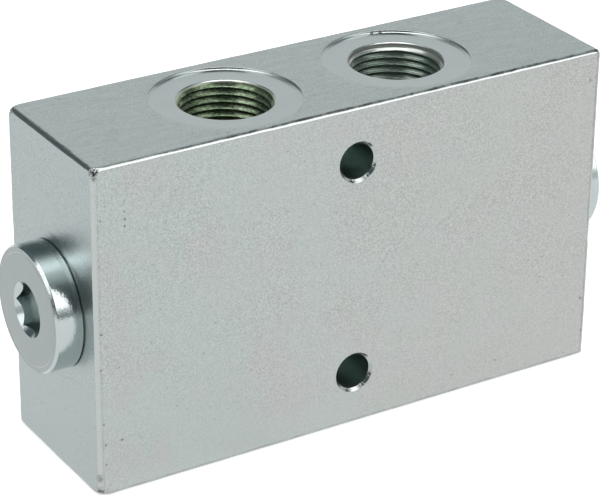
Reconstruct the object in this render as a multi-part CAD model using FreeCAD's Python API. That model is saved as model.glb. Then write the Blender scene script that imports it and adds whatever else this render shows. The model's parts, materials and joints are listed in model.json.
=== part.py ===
# Double pilot operated non-return valve block with four threaded ports.
# Millimetres. X runs along the block and the main bore, +Y to the back, +Z up.
# The origin is the middle of the underside.
import FreeCAD
import Part
import math
import os

# Block
block_length = 100.0
block_depth = 30.0
block_height = 60.0
corner_chamfer = 0.7
rim_chamfer = 0.4

# Standard pipe thread of the four ports and the two end plugs
thread_major_diameter = 16.662
thread_pitch = 1.337
thread_depth_per_pitch = 0.640327
drill_point_angle = 118.0

# Ports: two on the top, two on the underside
valve_port_spacing = 34.0
cylinder_port_from_end = 18.5
port_thread_length = 12.0
port_drill_depth = 14.5
port_passage_diameter = 8.5
port_spotface_diameter = 26.0
port_spotface_depth = 0.5
port_lead_in = 0.1

# Through holes for the mounting screws
mounting_hole_diameter = 6.5
mounting_hole_from_edge = 10.0
mounting_hole_chamfer = 0.5

# Main bore
pilot_bore_diameter = 13.5
plug_thread_depth = 11.2
plug_spotface_diameter = 26.0
plug_spotface_depth = 0.1
plug_lead_in = 0.35

# End plugs with an inside hexagon and a captive seal under the head
plug_head_diameter = 22.0
plug_head_thickness = 5.0
plug_head_chamfer = 0.4
plug_shank_length = 9.8
plug_shank_chamfer = 0.8
hexagon_across_flats = 8.0
hexagon_depth = 6.0
hexagon_mouth_diameter = 9.7
hexagon_countersink_angle = 80.0
plug_seal_outside_diameter = 19.0
plug_seal_thickness = 1.4
plug_undercut_diameter = 14.7
plug_spring_pocket_depth = 4.4

# Seat bushes
bush_length = 6.5
valve_seat_diameter = 7.0
seal_groove_depth = 1.45
seal_groove_width = 3.4
bush_groove_from_shoulder = 1.4
bush_chamfer = 0.3

# Guide cages
cage_length = 12.1
guide_bore_diameter = 10.5
cage_rim_width = 1.0
cage_waist_length = 6.6
cage_waist_depth = 0.8
cross_hole_diameter = 4.0
cross_hole_count = 4
cross_hole_from_end = 2.6

# Check poppets, each with a bore for its spring
poppet_lift = 2.5
poppet_cone_half_angle = 45.0
poppet_nose_diameter = 4.6
poppet_floor_thickness = 4.5
poppet_bleed_diameter = 1.5
poppet_bleed_from_floor = 1.2
poppet_groove_width = 0.8
poppet_groove_depth = 0.3

# Check springs
spring_wire_diameter = 0.8
spring_outside_diameter = 6.8
spring_pocket_diameter = 7.6
spring_active_turns = 4.5
spring_end_turns = 1.0

# Pilot piston
piston_land_width = 13.0
piston_neck_diameter = 9.0
piston_stem_diameter = 3.5
piston_stroke = 4.5
piston_free_travel = 2.0
piston_land_chamfer = 0.4
piston_groove_width = 5.0
piston_stem_chamfer = 0.4

# Seal rings
o_ring_section = 1.78
backup_ring_width = 1.3
backup_ring_slit = 0.25
backup_ring_slit_angle = 30.0

# Clearances
piston_clearance = 0.03
guide_clearance = 0.05
bush_clearance = 0.025
thread_clearance = 0.05
seal_clearance = 0.02
seat_clearance = 0.03
stop_clearance = 0.1
spring_clearance = 0.02
meeting_clearance = 0.05

# Sizes that follow from the ones above
block_end = block_length / 2
bore_height = block_height / 2
thread_major_radius = thread_major_diameter / 2
thread_minor_radius = thread_major_radius - thread_depth_per_pitch * thread_pitch
cavity_radius = thread_minor_radius
pilot_bore_radius = pilot_bore_diameter / 2
guide_radius = guide_bore_diameter / 2
seat_radius = valve_seat_diameter / 2
spring_pocket_radius = spring_pocket_diameter / 2

plug_seat = block_end - plug_spotface_depth
plug_shank_end = plug_seat - plug_shank_length
plug_face = plug_seat + plug_head_thickness
bush_outer_end = plug_shank_end - cage_length
shoulder = bush_outer_end - bush_length

poppet_radius = guide_radius - guide_clearance
poppet_tail = plug_shank_end - poppet_lift - stop_clearance
poppet_cone_run = 1 / math.tan(math.radians(poppet_cone_half_angle))
poppet_cone_zero = bush_outer_end + seat_clearance - seat_radius * poppet_cone_run
poppet_cone_end = poppet_cone_zero + poppet_radius * poppet_cone_run
poppet_nose = poppet_cone_zero + poppet_nose_diameter / 2 * poppet_cone_run
poppet_floor = bush_outer_end + poppet_floor_thickness

spring_start = poppet_floor + spring_clearance
spring_end = plug_shank_end + plug_spring_pocket_depth - spring_clearance

piston_radius = pilot_bore_radius - piston_clearance
piston_stop = shoulder - piston_stroke
piston_tip = poppet_nose - piston_free_travel - meeting_clearance


def turned(profile):
    """Turn a closed outline of (distance along X, radius) about the X axis."""
    points = [FreeCAD.Vector(x, 0, radius) for x, radius in profile]
    points.append(points[0])
    face = Part.Face(Part.makePolygon(points))
    return face.revolve(FreeCAD.Vector(0, 0, 0), FreeCAD.Vector(1, 0, 0), 360)


def rod(start, end, radius):
    """A round bar along X."""
    base = FreeCAD.Vector(start, 0, 0)
    return Part.makeCylinder(radius, end - start, base, FreeCAD.Vector(1, 0, 0))


def tube(start, end, outer, inner):
    """A plain sleeve along X."""
    return turned([(start, inner), (end, inner), (end, outer), (start, outer)])


def drill_point(radius):
    """Length of the cone that a drill of this radius leaves."""
    return radius / math.tan(math.radians(drill_point_angle / 2))


def raised(shape):
    """Lift a piece that is turned about the X axis onto the main bore's axis."""
    shape.translate(FreeCAD.Vector(0, 0, bore_height))
    return shape


def on_side(shape, side):
    """Put a piece built for the right end on the right or the left end."""
    placed = raised(shape.copy())
    if side == "left":
        placed.rotate(FreeCAD.Vector(0, 0, 0), FreeCAD.Vector(0, 0, 1), 180)
    return placed


def port_tool():
    """Material taken away for one port, with its face at the origin and the port going down to -X."""
    lead_in_radius = thread_major_radius + port_lead_in
    thread_start = -port_spotface_depth
    drill_end = -port_drill_depth
    passage_radius = port_passage_diameter / 2
    passage_start = drill_end - drill_point(thread_minor_radius) + drill_point(passage_radius)
    return turned([
        (port_spotface_depth, 0),
        (port_spotface_depth, port_spotface_diameter / 2),
        (thread_start, port_spotface_diameter / 2),
        (thread_start, lead_in_radius),
        (thread_start - port_lead_in, thread_major_radius),
        (-port_thread_length, thread_major_radius),
        (-port_thread_length, thread_minor_radius),
        (drill_end, thread_minor_radius),
        (passage_start, passage_radius),
        (-bore_height, passage_radius),
        (-bore_height, 0),
    ])


def port_cut(x, upward):
    """A port's tool turned upright and placed on the top or on the underside."""
    tool = port_tool()
    tool.rotate(FreeCAD.Vector(0, 0, 0), FreeCAD.Vector(0, 1, 0), -90 if upward else 90)
    tool.translate(FreeCAD.Vector(x, 0, block_height if upward else 0))
    return tool


def bore_tool():
    """Material taken away for half of the main bore, from the middle out to the right end."""
    thread_start = block_end - plug_thread_depth
    return turned([
        (0, 0),
        (0, pilot_bore_radius),
        (shoulder, pilot_bore_radius),
        (shoulder, cavity_radius),
        (thread_start, cavity_radius),
        (thread_start, thread_major_radius),
        (plug_seat - plug_lead_in, thread_major_radius),
        (plug_seat, thread_major_radius + plug_lead_in),
        (plug_seat, plug_spotface_diameter / 2),
        (block_end + plug_spotface_depth, plug_spotface_diameter / 2),
        (block_end + plug_spotface_depth, 0),
    ])


def mounting_hole_tool(z):
    """A chamfered through hole across the block's depth."""
    radius = mounting_hole_diameter / 2
    face = block_depth / 2
    mouth = radius + mounting_hole_chamfer
    tool = turned([
        (-face, 0),
        (-face, mouth),
        (mounting_hole_chamfer - face, radius),
        (face - mounting_hole_chamfer, radius),
        (face, mouth),
        (face, 0),
    ])
    tool.rotate(FreeCAD.Vector(0, 0, 0), FreeCAD.Vector(0, 0, 1), 90)
    tool.translate(FreeCAD.Vector(0, 0, z))
    return tool


def block_blank():
    """The milled bar with all its edges broken."""
    corner = FreeCAD.Vector(-block_end, -block_depth / 2, 0)
    blank = Part.makeBox(block_length, block_depth, block_height, corner)
    upright = [e for e in blank.Edges if e.BoundBox.ZLength > block_height / 2]
    blank = blank.makeChamfer(corner_chamfer, upright)
    level = [e for e in blank.Edges if e.BoundBox.ZLength < block_height / 2]
    return blank.makeChamfer(rim_chamfer, level)


def valve_body():
    """The block with its ports, main bore and mounting holes."""
    body = block_blank()
    cuts = []
    valve_port_x = valve_port_spacing / 2
    cylinder_port_x = block_end - cylinder_port_from_end
    for sign in (-1, 1):
        cuts.append(port_cut(sign * valve_port_x, True))
        cuts.append(port_cut(sign * cylinder_port_x, False))
    for side in ("left", "right"):
        cuts.append(on_side(bore_tool(), side))
    for z in (mounting_hole_from_edge, block_height - mounting_hole_from_edge):
        cuts.append(mounting_hole_tool(z))
    return body.cut(cuts)


def ring_groove_radius(wall_radius):
    """Bottom radius of a seal groove that faces a wall of this radius."""
    return wall_radius - seal_groove_depth


def o_ring(middle, wall_radius):
    """A seal ring pressed between its groove and the wall, bulging along the bore."""
    inner = ring_groove_radius(wall_radius) + seal_clearance
    outer = wall_radius - piston_clearance
    height = outer - inner
    section_area = math.pi / 4 * o_ring_section ** 2
    flat = (section_area - math.pi / 4 * height ** 2) / height
    radius = (inner + outer) / 2
    low_left = FreeCAD.Vector(middle - flat / 2, 0, inner)
    low_right = FreeCAD.Vector(middle + flat / 2, 0, inner)
    high_left = FreeCAD.Vector(middle - flat / 2, 0, outer)
    high_right = FreeCAD.Vector(middle + flat / 2, 0, outer)
    bulge_left = FreeCAD.Vector(middle - flat / 2 - height / 2, 0, radius)
    bulge_right = FreeCAD.Vector(middle + flat / 2 + height / 2, 0, radius)
    outline = Part.Wire([
        Part.makeLine(low_left, low_right),
        Part.Arc(low_right, bulge_right, high_right).toShape(),
        Part.makeLine(high_right, high_left),
        Part.Arc(high_left, bulge_left, low_left).toShape(),
    ])
    return Part.Face(outline).revolve(FreeCAD.Vector(0, 0, 0), FreeCAD.Vector(1, 0, 0), 360)


def backup_ring(start, wall_radius):
    """A stiff ring with a slanted slit, beside the seal ring in its groove."""
    inner = ring_groove_radius(wall_radius) + seal_clearance
    outer = wall_radius - piston_clearance
    ring = tube(start, start + backup_ring_width, outer, inner)
    reach = 2 * backup_ring_width
    slit_corner = FreeCAD.Vector(-reach, -backup_ring_slit / 2, 0)
    slit = Part.makeBox(2 * reach, backup_ring_slit, 2 * outer, slit_corner)
    slit.rotate(FreeCAD.Vector(0, 0, 0), FreeCAD.Vector(0, 0, 1), backup_ring_slit_angle)
    slit.translate(FreeCAD.Vector(start + backup_ring_width / 2, 0, 0))
    return ring.cut(slit)


def seat_bush():
    """Sleeve against the bore's shoulder, whose outer rim is the valve seat."""
    outer = cavity_radius - bush_clearance
    groove_start = shoulder + bush_groove_from_shoulder
    groove_end = groove_start + seal_groove_width
    groove = ring_groove_radius(cavity_radius)
    return turned([
        (shoulder, seat_radius),
        (bush_outer_end, seat_radius),
        (bush_outer_end, outer - bush_chamfer),
        (bush_outer_end - bush_chamfer, outer),
        (groove_end, outer),
        (groove_end, groove),
        (groove_start, groove),
        (groove_start, outer),
        (shoulder + bush_chamfer, outer),
        (shoulder, outer - bush_chamfer),
    ])


def seat_seals():
    """The O-ring and the backup ring in the seat bush's groove."""
    groove_start = shoulder + bush_groove_from_shoulder
    ring_room = seal_groove_width - backup_ring_width
    middle = groove_start + backup_ring_width + ring_room / 2
    return o_ring(middle, cavity_radius), backup_ring(groove_start, cavity_radius)


def guide_cage():
    """Sleeve that guides the poppet, with cross holes that let the oil out."""
    outer = cavity_radius - bush_clearance
    waist = outer - cage_waist_depth
    waist_start = bush_outer_end + cage_rim_width
    waist_end = waist_start + cage_waist_length
    cage = turned([
        (bush_outer_end, guide_radius),
        (plug_shank_end, guide_radius),
        (plug_shank_end, outer),
        (waist_end, outer),
        (waist_end, waist),
        (waist_start, waist),
        (waist_start, outer),
        (bush_outer_end, outer),
    ])
    hole_x = bush_outer_end + cross_hole_from_end
    for index in range(cross_hole_count):
        angle = 360 * index / cross_hole_count
        hole = Part.makeCylinder(cross_hole_diameter / 2, 2 * outer, FreeCAD.Vector(hole_x, 0, 0))
        hole.rotate(FreeCAD.Vector(hole_x, 0, 0), FreeCAD.Vector(1, 0, 0), angle)
        cage = cage.cut(hole)
    return cage


def check_poppet():
    """Hollow poppet: a cone that closes the seat, a guided barrel and a bore for the spring."""
    groove_start = (poppet_cone_end + poppet_tail - poppet_groove_width) / 2
    poppet = turned([
        (poppet_nose, 0),
        (poppet_nose, poppet_nose_diameter / 2),
        (poppet_cone_end, poppet_radius),
        (groove_start, poppet_radius),
        (groove_start, poppet_radius - poppet_groove_depth),
        (groove_start + poppet_groove_width, poppet_radius - poppet_groove_depth),
        (groove_start + poppet_groove_width, poppet_radius),
        (poppet_tail, poppet_radius),
        (poppet_tail, spring_pocket_radius),
        (poppet_floor, spring_pocket_radius),
        (poppet_floor, 0),
    ])
    bleed_x = poppet_floor + poppet_bleed_from_floor
    base = FreeCAD.Vector(bleed_x, -poppet_radius, 0)
    bleed = Part.makeCylinder(poppet_bleed_diameter / 2, 2 * poppet_radius, base, FreeCAD.Vector(0, 1, 0))
    return poppet.cut(bleed)


def spring_path():
    """Centre line of the spring: closed end turns and an open middle, as a smooth curve."""
    coil_radius = (spring_outside_diameter - spring_wire_diameter) / 2
    closed_pitch = spring_wire_diameter + spring_clearance
    closed_length = spring_end_turns * closed_pitch
    active_length = spring_end - spring_start - 2 * closed_length
    turns = 2 * spring_end_turns + spring_active_turns
    points_per_turn = 12
    count = int(turns * points_per_turn)
    points = []
    for index in range(count + 1):
        turn = turns * index / count
        from_start = min(turn, spring_end_turns)
        in_middle = min(max(turn - spring_end_turns, 0), spring_active_turns)
        from_middle = max(turn - spring_end_turns - spring_active_turns, 0)
        x = spring_start + (from_start + from_middle) * closed_pitch
        x += in_middle / spring_active_turns * active_length
        angle = 2 * math.pi * turn
        y = coil_radius * math.cos(angle)
        z = coil_radius * math.sin(angle)
        points.append(FreeCAD.Vector(x, y, z))
    curve = Part.BSplineCurve()
    curve.interpolate(points)
    return curve


def check_spring():
    """Compression spring with its ends ground flat."""
    curve = spring_path()
    path = Part.Wire([curve.toShape()])
    tangent = curve.tangent(curve.FirstParameter)[0]
    start = curve.value(curve.FirstParameter)
    section = Part.Wire([Part.makeCircle(spring_wire_diameter / 2, start, tangent)])
    sweep = Part.BRepOffsetAPI.MakePipeShell(path)
    sweep.setFrenetMode(True)
    sweep.add(section)
    sweep.build()
    sweep.makeSolid()
    coil = sweep.shape()
    return coil.common(rod(spring_start, spring_end, spring_outside_diameter))


def hexagon_socket():
    """Material taken away for the plug's inside hexagon, its countersink and its drill point."""
    corner_radius = hexagon_across_flats / 2 / math.cos(math.radians(30))
    corners = []
    for index in range(7):
        angle = math.radians(60 * index)
        y = corner_radius * math.cos(angle)
        z = corner_radius * math.sin(angle)
        corners.append(FreeCAD.Vector(plug_face, y, z))
    outline = Part.Face(Part.makePolygon(corners))
    socket = outline.extrude(FreeCAD.Vector(-hexagon_depth, 0, 0))
    mouth_radius = hexagon_mouth_diameter / 2
    mouth_depth = mouth_radius / math.tan(math.radians(hexagon_countersink_angle / 2))
    countersink = turned([(plug_face, 0), (plug_face, mouth_radius), (plug_face - mouth_depth, 0)])
    floor = plug_face - hexagon_depth
    drill_radius = hexagon_across_flats / 2
    point = turned([(floor, 0), (floor, drill_radius), (floor - drill_point(drill_radius), 0)])
    return socket.fuse([countersink, point])


def end_plug():
    """Screw plug with a round head, seal groove, shank and a pocket for the spring."""
    shank = thread_major_radius - thread_clearance
    undercut = plug_undercut_diameter / 2
    seal_room_radius = plug_seal_outside_diameter / 2 + seal_clearance
    head = plug_head_diameter / 2
    pocket_end = plug_shank_end + plug_spring_pocket_depth
    plug = turned([
        (pocket_end, 0),
        (plug_face, 0),
        (plug_face, head - plug_head_chamfer),
        (plug_face - plug_head_chamfer, head),
        (plug_seat, head),
        (plug_seat, seal_room_radius),
        (plug_seat + plug_seal_thickness, seal_room_radius),
        (plug_seat + plug_seal_thickness, undercut),
        (plug_seat - plug_seal_thickness, undercut),
        (plug_seat - plug_seal_thickness, shank),
        (plug_shank_end + plug_shank_chamfer, shank),
        (plug_shank_end, shank - plug_shank_chamfer),
        (plug_shank_end, spring_pocket_radius),
        (pocket_end, spring_pocket_radius),
    ])
    return plug.cut(hexagon_socket())


def plug_seal():
    """Captive seal ring in the recess under the plug's head."""
    outer = plug_seal_outside_diameter / 2
    inner = plug_undercut_diameter / 2 + seal_clearance
    return tube(plug_seat, plug_seat + plug_seal_thickness, outer, inner)


def pilot_piston():
    """Floating piston: a sealed land in the middle, a stop collar and a pushing stem to each side."""
    land = piston_land_width / 2
    groove = piston_groove_width / 2
    groove_radius = ring_groove_radius(pilot_bore_radius)
    neck = piston_neck_diameter / 2
    stem = piston_stem_diameter / 2
    right_half = [
        (groove, groove_radius),
        (groove, piston_radius),
        (land - piston_land_chamfer, piston_radius),
        (land, piston_radius - piston_land_chamfer),
        (land, neck),
        (piston_stop, neck),
        (piston_stop, stem),
        (piston_tip - piston_stem_chamfer, stem),
        (piston_tip, stem - piston_stem_chamfer),
        (piston_tip, 0),
    ]
    left_half = [(-x, radius) for x, radius in reversed(right_half)]
    return turned(left_half + right_half)


def piston_seals():
    """The O-ring and the two backup rings in the piston's groove."""
    groove_end = piston_groove_width / 2
    right = backup_ring(groove_end - backup_ring_width, pilot_bore_radius)
    left = backup_ring(-groove_end, pilot_bore_radius)
    return o_ring(0, pilot_bore_radius), left, right


pieces = {}
pieces["valve_body"] = valve_body()

piston_o_ring, piston_backup_left, piston_backup_right = piston_seals()
pieces["pilot_piston"] = raised(pilot_piston())
pieces["piston_o_ring"] = raised(piston_o_ring)
pieces["piston_backup_ring_left"] = raised(piston_backup_left)
pieces["piston_backup_ring_right"] = raised(piston_backup_right)

seat_o_ring, seat_backup_ring = seat_seals()
end_pieces = {
    "seat_bush": seat_bush(),
    "seat_o_ring": seat_o_ring,
    "seat_backup_ring": seat_backup_ring,
    "guide_cage": guide_cage(),
    "check_poppet": check_poppet(),
    "check_spring": check_spring(),
    "end_plug": end_plug(),
    "plug_seal": plug_seal(),
}
for name, shape in end_pieces.items():
    for side in ("left", "right"):
        pieces[name + "_" + side] = on_side(shape, side)

os.makedirs("parts", exist_ok=True)
for name, shape in pieces.items():
    shape.exportStep("parts/" + name + ".step")
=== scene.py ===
"""Looks of a zinc-plated double pilot operated non-return valve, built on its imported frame."""

import json
import logging
import math
from dataclasses import dataclass, field
from enum import Enum
from typing import Optional, Sequence

import bmesh
import bpy
import numpy as np
from mathutils import Matrix, Vector


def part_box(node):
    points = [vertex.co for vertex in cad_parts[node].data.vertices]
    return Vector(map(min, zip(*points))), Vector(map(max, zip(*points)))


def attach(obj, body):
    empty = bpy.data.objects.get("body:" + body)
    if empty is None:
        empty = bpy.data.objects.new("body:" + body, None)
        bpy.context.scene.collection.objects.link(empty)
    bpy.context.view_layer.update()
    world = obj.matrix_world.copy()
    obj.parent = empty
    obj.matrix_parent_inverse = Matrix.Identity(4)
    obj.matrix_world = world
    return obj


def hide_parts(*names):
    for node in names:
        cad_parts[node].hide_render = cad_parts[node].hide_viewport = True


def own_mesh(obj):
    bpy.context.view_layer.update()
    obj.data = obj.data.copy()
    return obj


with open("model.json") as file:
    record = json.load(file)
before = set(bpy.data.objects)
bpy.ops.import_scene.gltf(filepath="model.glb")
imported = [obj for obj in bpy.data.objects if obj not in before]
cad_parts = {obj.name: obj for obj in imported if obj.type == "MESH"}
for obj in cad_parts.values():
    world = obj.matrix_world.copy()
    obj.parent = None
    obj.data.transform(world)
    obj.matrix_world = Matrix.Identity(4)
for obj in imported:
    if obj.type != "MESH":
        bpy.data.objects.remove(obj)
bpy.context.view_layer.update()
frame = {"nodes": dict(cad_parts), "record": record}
log = logging.getLogger("valve")

MM = 0.001
FULL_TURN = 2 * math.pi
MERGE_DISTANCE = 1e-7
BLOCK_SHARP, PLUG_SHARP, THREAD_SHARP, WIRE_SHARP = 32.0, 28.0, 50.0, 50.0

Colour = tuple[float, float, float]
Point = tuple[float, float, float]
Spread = tuple[float, float, float, float]  # a range of values, and what its two ends become
Relief = tuple[float, float]  # height in metres, and the share of it that shows
Socket = bpy.types.NodeSocket
Feed = Socket | float | Sequence[float]


def metres(point: Point) -> Point:
    """A point in millimetres, turned into metres."""
    return tuple(MM * value for value in point)


class Side(Enum):
    """End of the block that a piece belongs to; the value is the sign of its X."""

    LEFT = -1
    RIGHT = 1

    @property
    def word(self) -> str:
        """The side's name as the frame's nodes spell it."""
        return self.name.lower()


class BlockFinish(Enum):
    """Material slots of the block's mesh."""

    PLATED = 0
    SPOTFACE = 1
    PORT_WALL = 2
    SCREW_HOLE = 3
    HOLE_MOUTH = 4


class PlugFinish(Enum):
    """Material slots of a plug's mesh."""

    TURNED = 0
    SOCKET = 1


@dataclass(frozen=True)
class Stain:
    """A dark scuff, nick or speck on the metal.

    Attributes:
        at: Its middle, in millimetres.
        radius: Its radius, in millimetres.
        strength: How dark its middle is, from 0 to 1.
    """

    at: Point
    radius: float
    strength: float


@dataclass(frozen=True)
class Pattern:
    """Unevenness that noise gives to a surface.

    Attributes:
        size: Size of a lump, in metres.
        detail: Number of finer layers.
        spread: Noise range, and what its ends become.
        stretch: Factor on each coordinate, or None for round lumps.
    """

    size: float
    detail: float
    spread: Spread
    stretch: Optional[Point] = None


@dataclass(frozen=True)
class Ragged:
    """How the edge of a dark mark wanders, in shares of the mark's half width.

    Attributes:
        wobble: How far noise pulls the edge in.
        full: Distance from the middle up to which the mark is at its darkest.
        gone: Distance at which it ends.
    """

    wobble: float
    full: float
    gone: float


ROUND_MARK = Ragged(1.6, 0.9, 1.9)
LINE_MARK = Ragged(1.9, 0.8, 1.9)
MARK_NOISE_SIZE = 0.00045
WIDE_NOISE = (0.2, 0.8)
HALF_NOISE = (0.25, 0.75)
USUAL_NOISE = (0.3, 0.7)
NARROW_NOISE = (0.35, 0.65)


class Nodes:
    """A tree of shader nodes, with calls that add a node and join it up at once."""

    def __init__(self, tree: bpy.types.NodeTree) -> None:
        """Start with an empty tree.

        Args:
            tree: The tree.
        """
        self.tree = tree
        tree.nodes.clear()

    def feed(self, target: Socket, value: Feed) -> None:
        """Join an output to an input, or set the input's own value.

        Args:
            target: The input.
            value: An output, a number, a vector, or a colour without its alpha.
        """
        if isinstance(value, Socket):
            self.tree.links.new(value, target)
        elif target.type == "RGBA":
            target.default_value = (*value, 1.0)
        else:
            target.default_value = value

    def add(
        self, kind: str, feeds: dict[int | str, Feed], out: int | str = 0, **settings: object
    ) -> Socket:
        """Add a node.

        Args:
            kind: Blender's name of the node type.
            feeds: What goes into its inputs, by their names or numbers.
            out: Name or number of the output that is wanted.
            settings: Properties to set on the node.

        Returns:
            That output.
        """
        node = self.tree.nodes.new(kind)
        for key, value in settings.items():
            setattr(node, key, value)
        for key, value in feeds.items():
            self.feed(node.inputs[key], value)
        return node.outputs[out]

    def show(self, kind: str, surface: Socket) -> None:
        """Add the tree's output node and join the surface to it."""
        self.feed(self.tree.nodes.new(kind).inputs["Surface"], surface)

    def ramp(self, value: Socket, start: float, end: float, low: float = 0.0, high: float = 1.0) -> Socket:
        """Spread part of a value's range smoothly over a new range.

        Args:
            value: The value to spread.
            start: Value that gives low.
            end: Value that gives high.
            low: Result at start.
            high: Result at end.

        Returns:
            The new value.
        """
        feeds = {"Value": value, "From Min": start, "From Max": end, "To Min": low, "To Max": high}
        return self.add("ShaderNodeMapRange", feeds, "Result", interpolation_type="SMOOTHSTEP")

    def maths(self, operation: str, first: Feed, second: Feed = 0.0) -> Socket:
        """Combine two numbers.

        Args:
            operation: Blender's name of the operation.
            first: First number.
            second: Second number, where the operation has one.

        Returns:
            The result.
        """
        return self.add("ShaderNodeMath", {0: first, 1: second}, operation=operation)

    def vector(self, operation: str, first: Feed, second: Feed, out: str = "Value") -> Socket:
        """Combine two vectors.

        Args:
            operation: Blender's name of the operation.
            first: First vector.
            second: Second vector.
            out: Name of the output, which is Value for a number and Vector for a vector.

        Returns:
            The result.
        """
        return self.add("ShaderNodeVectorMath", {0: first, 1: second}, out, operation=operation)

    def mixed(self, share: Feed, first: Feed, second: Feed, blend: str = "MIX") -> Socket:
        """Mix two colours.

        Args:
            share: How much of the second colour, from 0 to 1.
            first: First colour.
            second: Second colour.
            blend: Blender's name of the way of mixing.

        Returns:
            The mixed colour.
        """
        feeds = {"Factor": share, 6: first, 7: second}
        return self.add("ShaderNodeMix", feeds, 2, data_type="RGBA", blend_type=blend)

    def between(self, share: Feed, first: Feed, second: Feed) -> Socket:
        """Mix two numbers.

        Args:
            share: How much of the second number, from 0 to 1.
            first: First number.
            second: Second number.

        Returns:
            The mixed number.
        """
        return self.add("ShaderNodeMix", {"Factor": share, "A": first, "B": second}, "Result")


class Graph(Nodes):
    """The shader nodes of one material, with short calls for the ones that repeat."""

    def __init__(self, name: str) -> None:
        """Start a material that has only an output and a surface shader.

        Args:
            name: The material's name.
        """
        self.material = bpy.data.materials.new(name)
        self.material.use_nodes = True
        super().__init__(self.material.node_tree)
        self.surface = self.tree.nodes.new("ShaderNodeBsdfPrincipled")
        self.show("ShaderNodeOutputMaterial", self.surface.outputs["BSDF"])
        self.place = self.add("ShaderNodeTexCoord", {}, "Object")
        self.parts = tuple(self.add("ShaderNodeSeparateXYZ", {0: self.place}).node.outputs)

    def stretched(self, scale: Point) -> Socket:
        """Object coordinates scaled along each axis.

        Args:
            scale: Factor for each axis.

        Returns:
            The scaled coordinates.
        """
        return self.add("ShaderNodeMapping", {"Vector": self.place, "Scale": scale}, "Vector")

    def noise(self, size: float, detail: float = 2.0, place: Optional[Socket] = None) -> Socket:
        """Cloudy noise whose lumps are about one size.

        Args:
            size: Size of a lump, in metres.
            detail: Number of finer layers.
            place: Coordinates, or None for the object's own.

        Returns:
            The noise value, from 0 to 1.
        """
        feeds = {"Vector": place or self.place, "Scale": 1 / size, "Detail": detail}
        return self.add("ShaderNodeTexNoise", feeds, "Fac")

    def pattern(self, pattern: Pattern) -> Socket:
        """The spread value of a pattern's noise."""
        place = self.stretched(pattern.stretch) if pattern.stretch else None
        return self.ramp(self.noise(pattern.size, pattern.detail, place), *pattern.spread)

    def tinted(self, colour: Feed, factor: Socket) -> Socket:
        """A colour times a number."""
        return self.mixed(1.0, colour, factor, "MULTIPLY")

    def uneven(self, noise: Socket, middle: float, below: float, above: float) -> Socket:
        """Roughness that noise varies.

        Args:
            noise: The noise.
            middle: Usual roughness.
            below: How far it goes down.
            above: How far it goes up.

        Returns:
            The roughness.
        """
        return self.ramp(noise, *WIDE_NOISE, middle - below, middle + above)

    def distance_from(self, point: Point) -> Socket:
        """Distance in metres from a point that is given in millimetres."""
        return self.vector("DISTANCE", self.place, metres(point))

    def ragged(
        self, mark: Ragged, away: Socket, noise: Socket, half_width: float, strength: float
    ) -> Socket:
        """Share of one dark mark, which noise pulls in from its edge.

        Args:
            mark: How its edge wanders.
            away: Distance from its middle, in metres.
            noise: Noise that makes it ragged.
            half_width: Half its width, in metres.
            strength: How dark its middle is, from 0 to 1.

        Returns:
            The share, from 0 to its strength.
        """
        edge = self.maths("ADD", away, self.maths("MULTIPLY", noise, half_width * mark.wobble))
        return self.ramp(edge, half_width * mark.gone, half_width * mark.full, 0.0, strength)

    def marks(self, stains: Sequence[Stain]) -> Socket:
        """Share of ragged round marks, the strongest one at each place.

        Args:
            stains: The marks.

        Returns:
            The share, from 0 to 1.
        """
        noise = self.noise(MARK_NOISE_SIZE, 3.0)
        total = self.add("ShaderNodeValue", {})
        total.default_value = 0.0
        for stain in stains:
            away = self.distance_from(stain.at)
            share = self.ragged(ROUND_MARK, away, noise, stain.radius * MM, stain.strength)
            total = self.maths("MAXIMUM", total, share)
        return total

    def facing(self, direction: Point) -> Socket:
        """How far the surface faces a direction.

        Args:
            direction: Unit direction in the part's frame.

        Returns:
            1 where the surface faces it, 0 square to it and -1 away from it.
        """
        normal = self.add("ShaderNodeNewGeometry", {}, "True Normal")
        return self.vector("DOT_PRODUCT", normal, direction)

    def along_axis(self, axis: int) -> Socket:
        """How far the surface is square to an axis, from 0 to 1."""
        return self.maths("ABSOLUTE", self.facing(tuple(float(index == axis) for index in range(3))))

    def bump(
        self, height: Socket, depth: float, strength: float = 1.0, under: Optional[Socket] = None
    ) -> Socket:
        """Turn a height into surface relief.

        Args:
            height: Height, from 0 to 1.
            depth: Real height of 1, in metres.
            strength: Share of the relief that shows.
            under: Relief that this one lies on.

        Returns:
            The bent surface normal.
        """
        feeds = {"Height": height, "Distance": depth, "Strength": strength}
        if under is not None:
            feeds["Normal"] = under
        return self.add("ShaderNodeBump", feeds, "Normal")

    def finish(
        self, colour: Feed, roughness: Feed, metallic: float, relief: Optional[Socket] = None
    ) -> bpy.types.Material:
        """Join the surface shader's main inputs.

        Args:
            colour: Base colour.
            roughness: Roughness.
            metallic: 1 for bare metal and 0 for anything else.
            relief: Bent surface normal.

        Returns:
            The finished material.
        """
        feeds = {"Base Color": colour, "Roughness": roughness, "Metallic": metallic}
        if relief is not None:
            feeds["Normal"] = relief
        for key, value in feeds.items():
            self.feed(self.surface.inputs[key], value)
        return self.material


@dataclass(frozen=True)
class ShadeLine:
    """A painted shade line: a thin dark line beside an edge of the block, where the edge break rolls over,
    painted in place of the dark reflection there.

    Attributes:
        across: Index of the axis that the line's width is measured along.
        at: The line's place on that axis, in millimetres.
        face: Direction of the face that it lies on.
        half_width: Half its width, in millimetres.
        strength: How dark it is, from 0 to 1.
        fade: X where it starts and X where it is full, in millimetres, or None for an even line.
        gaps: How far it goes missing in places, from 0 to 1.
        face_band: Cosines between which a surface becomes part of that face.
    """

    across: int
    at: float
    face: Point
    half_width: float
    strength: float
    fade: Optional[tuple[float, float]] = None
    gaps: float = 0.0
    face_band: tuple[float, float] = (0.6, 0.8)


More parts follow.
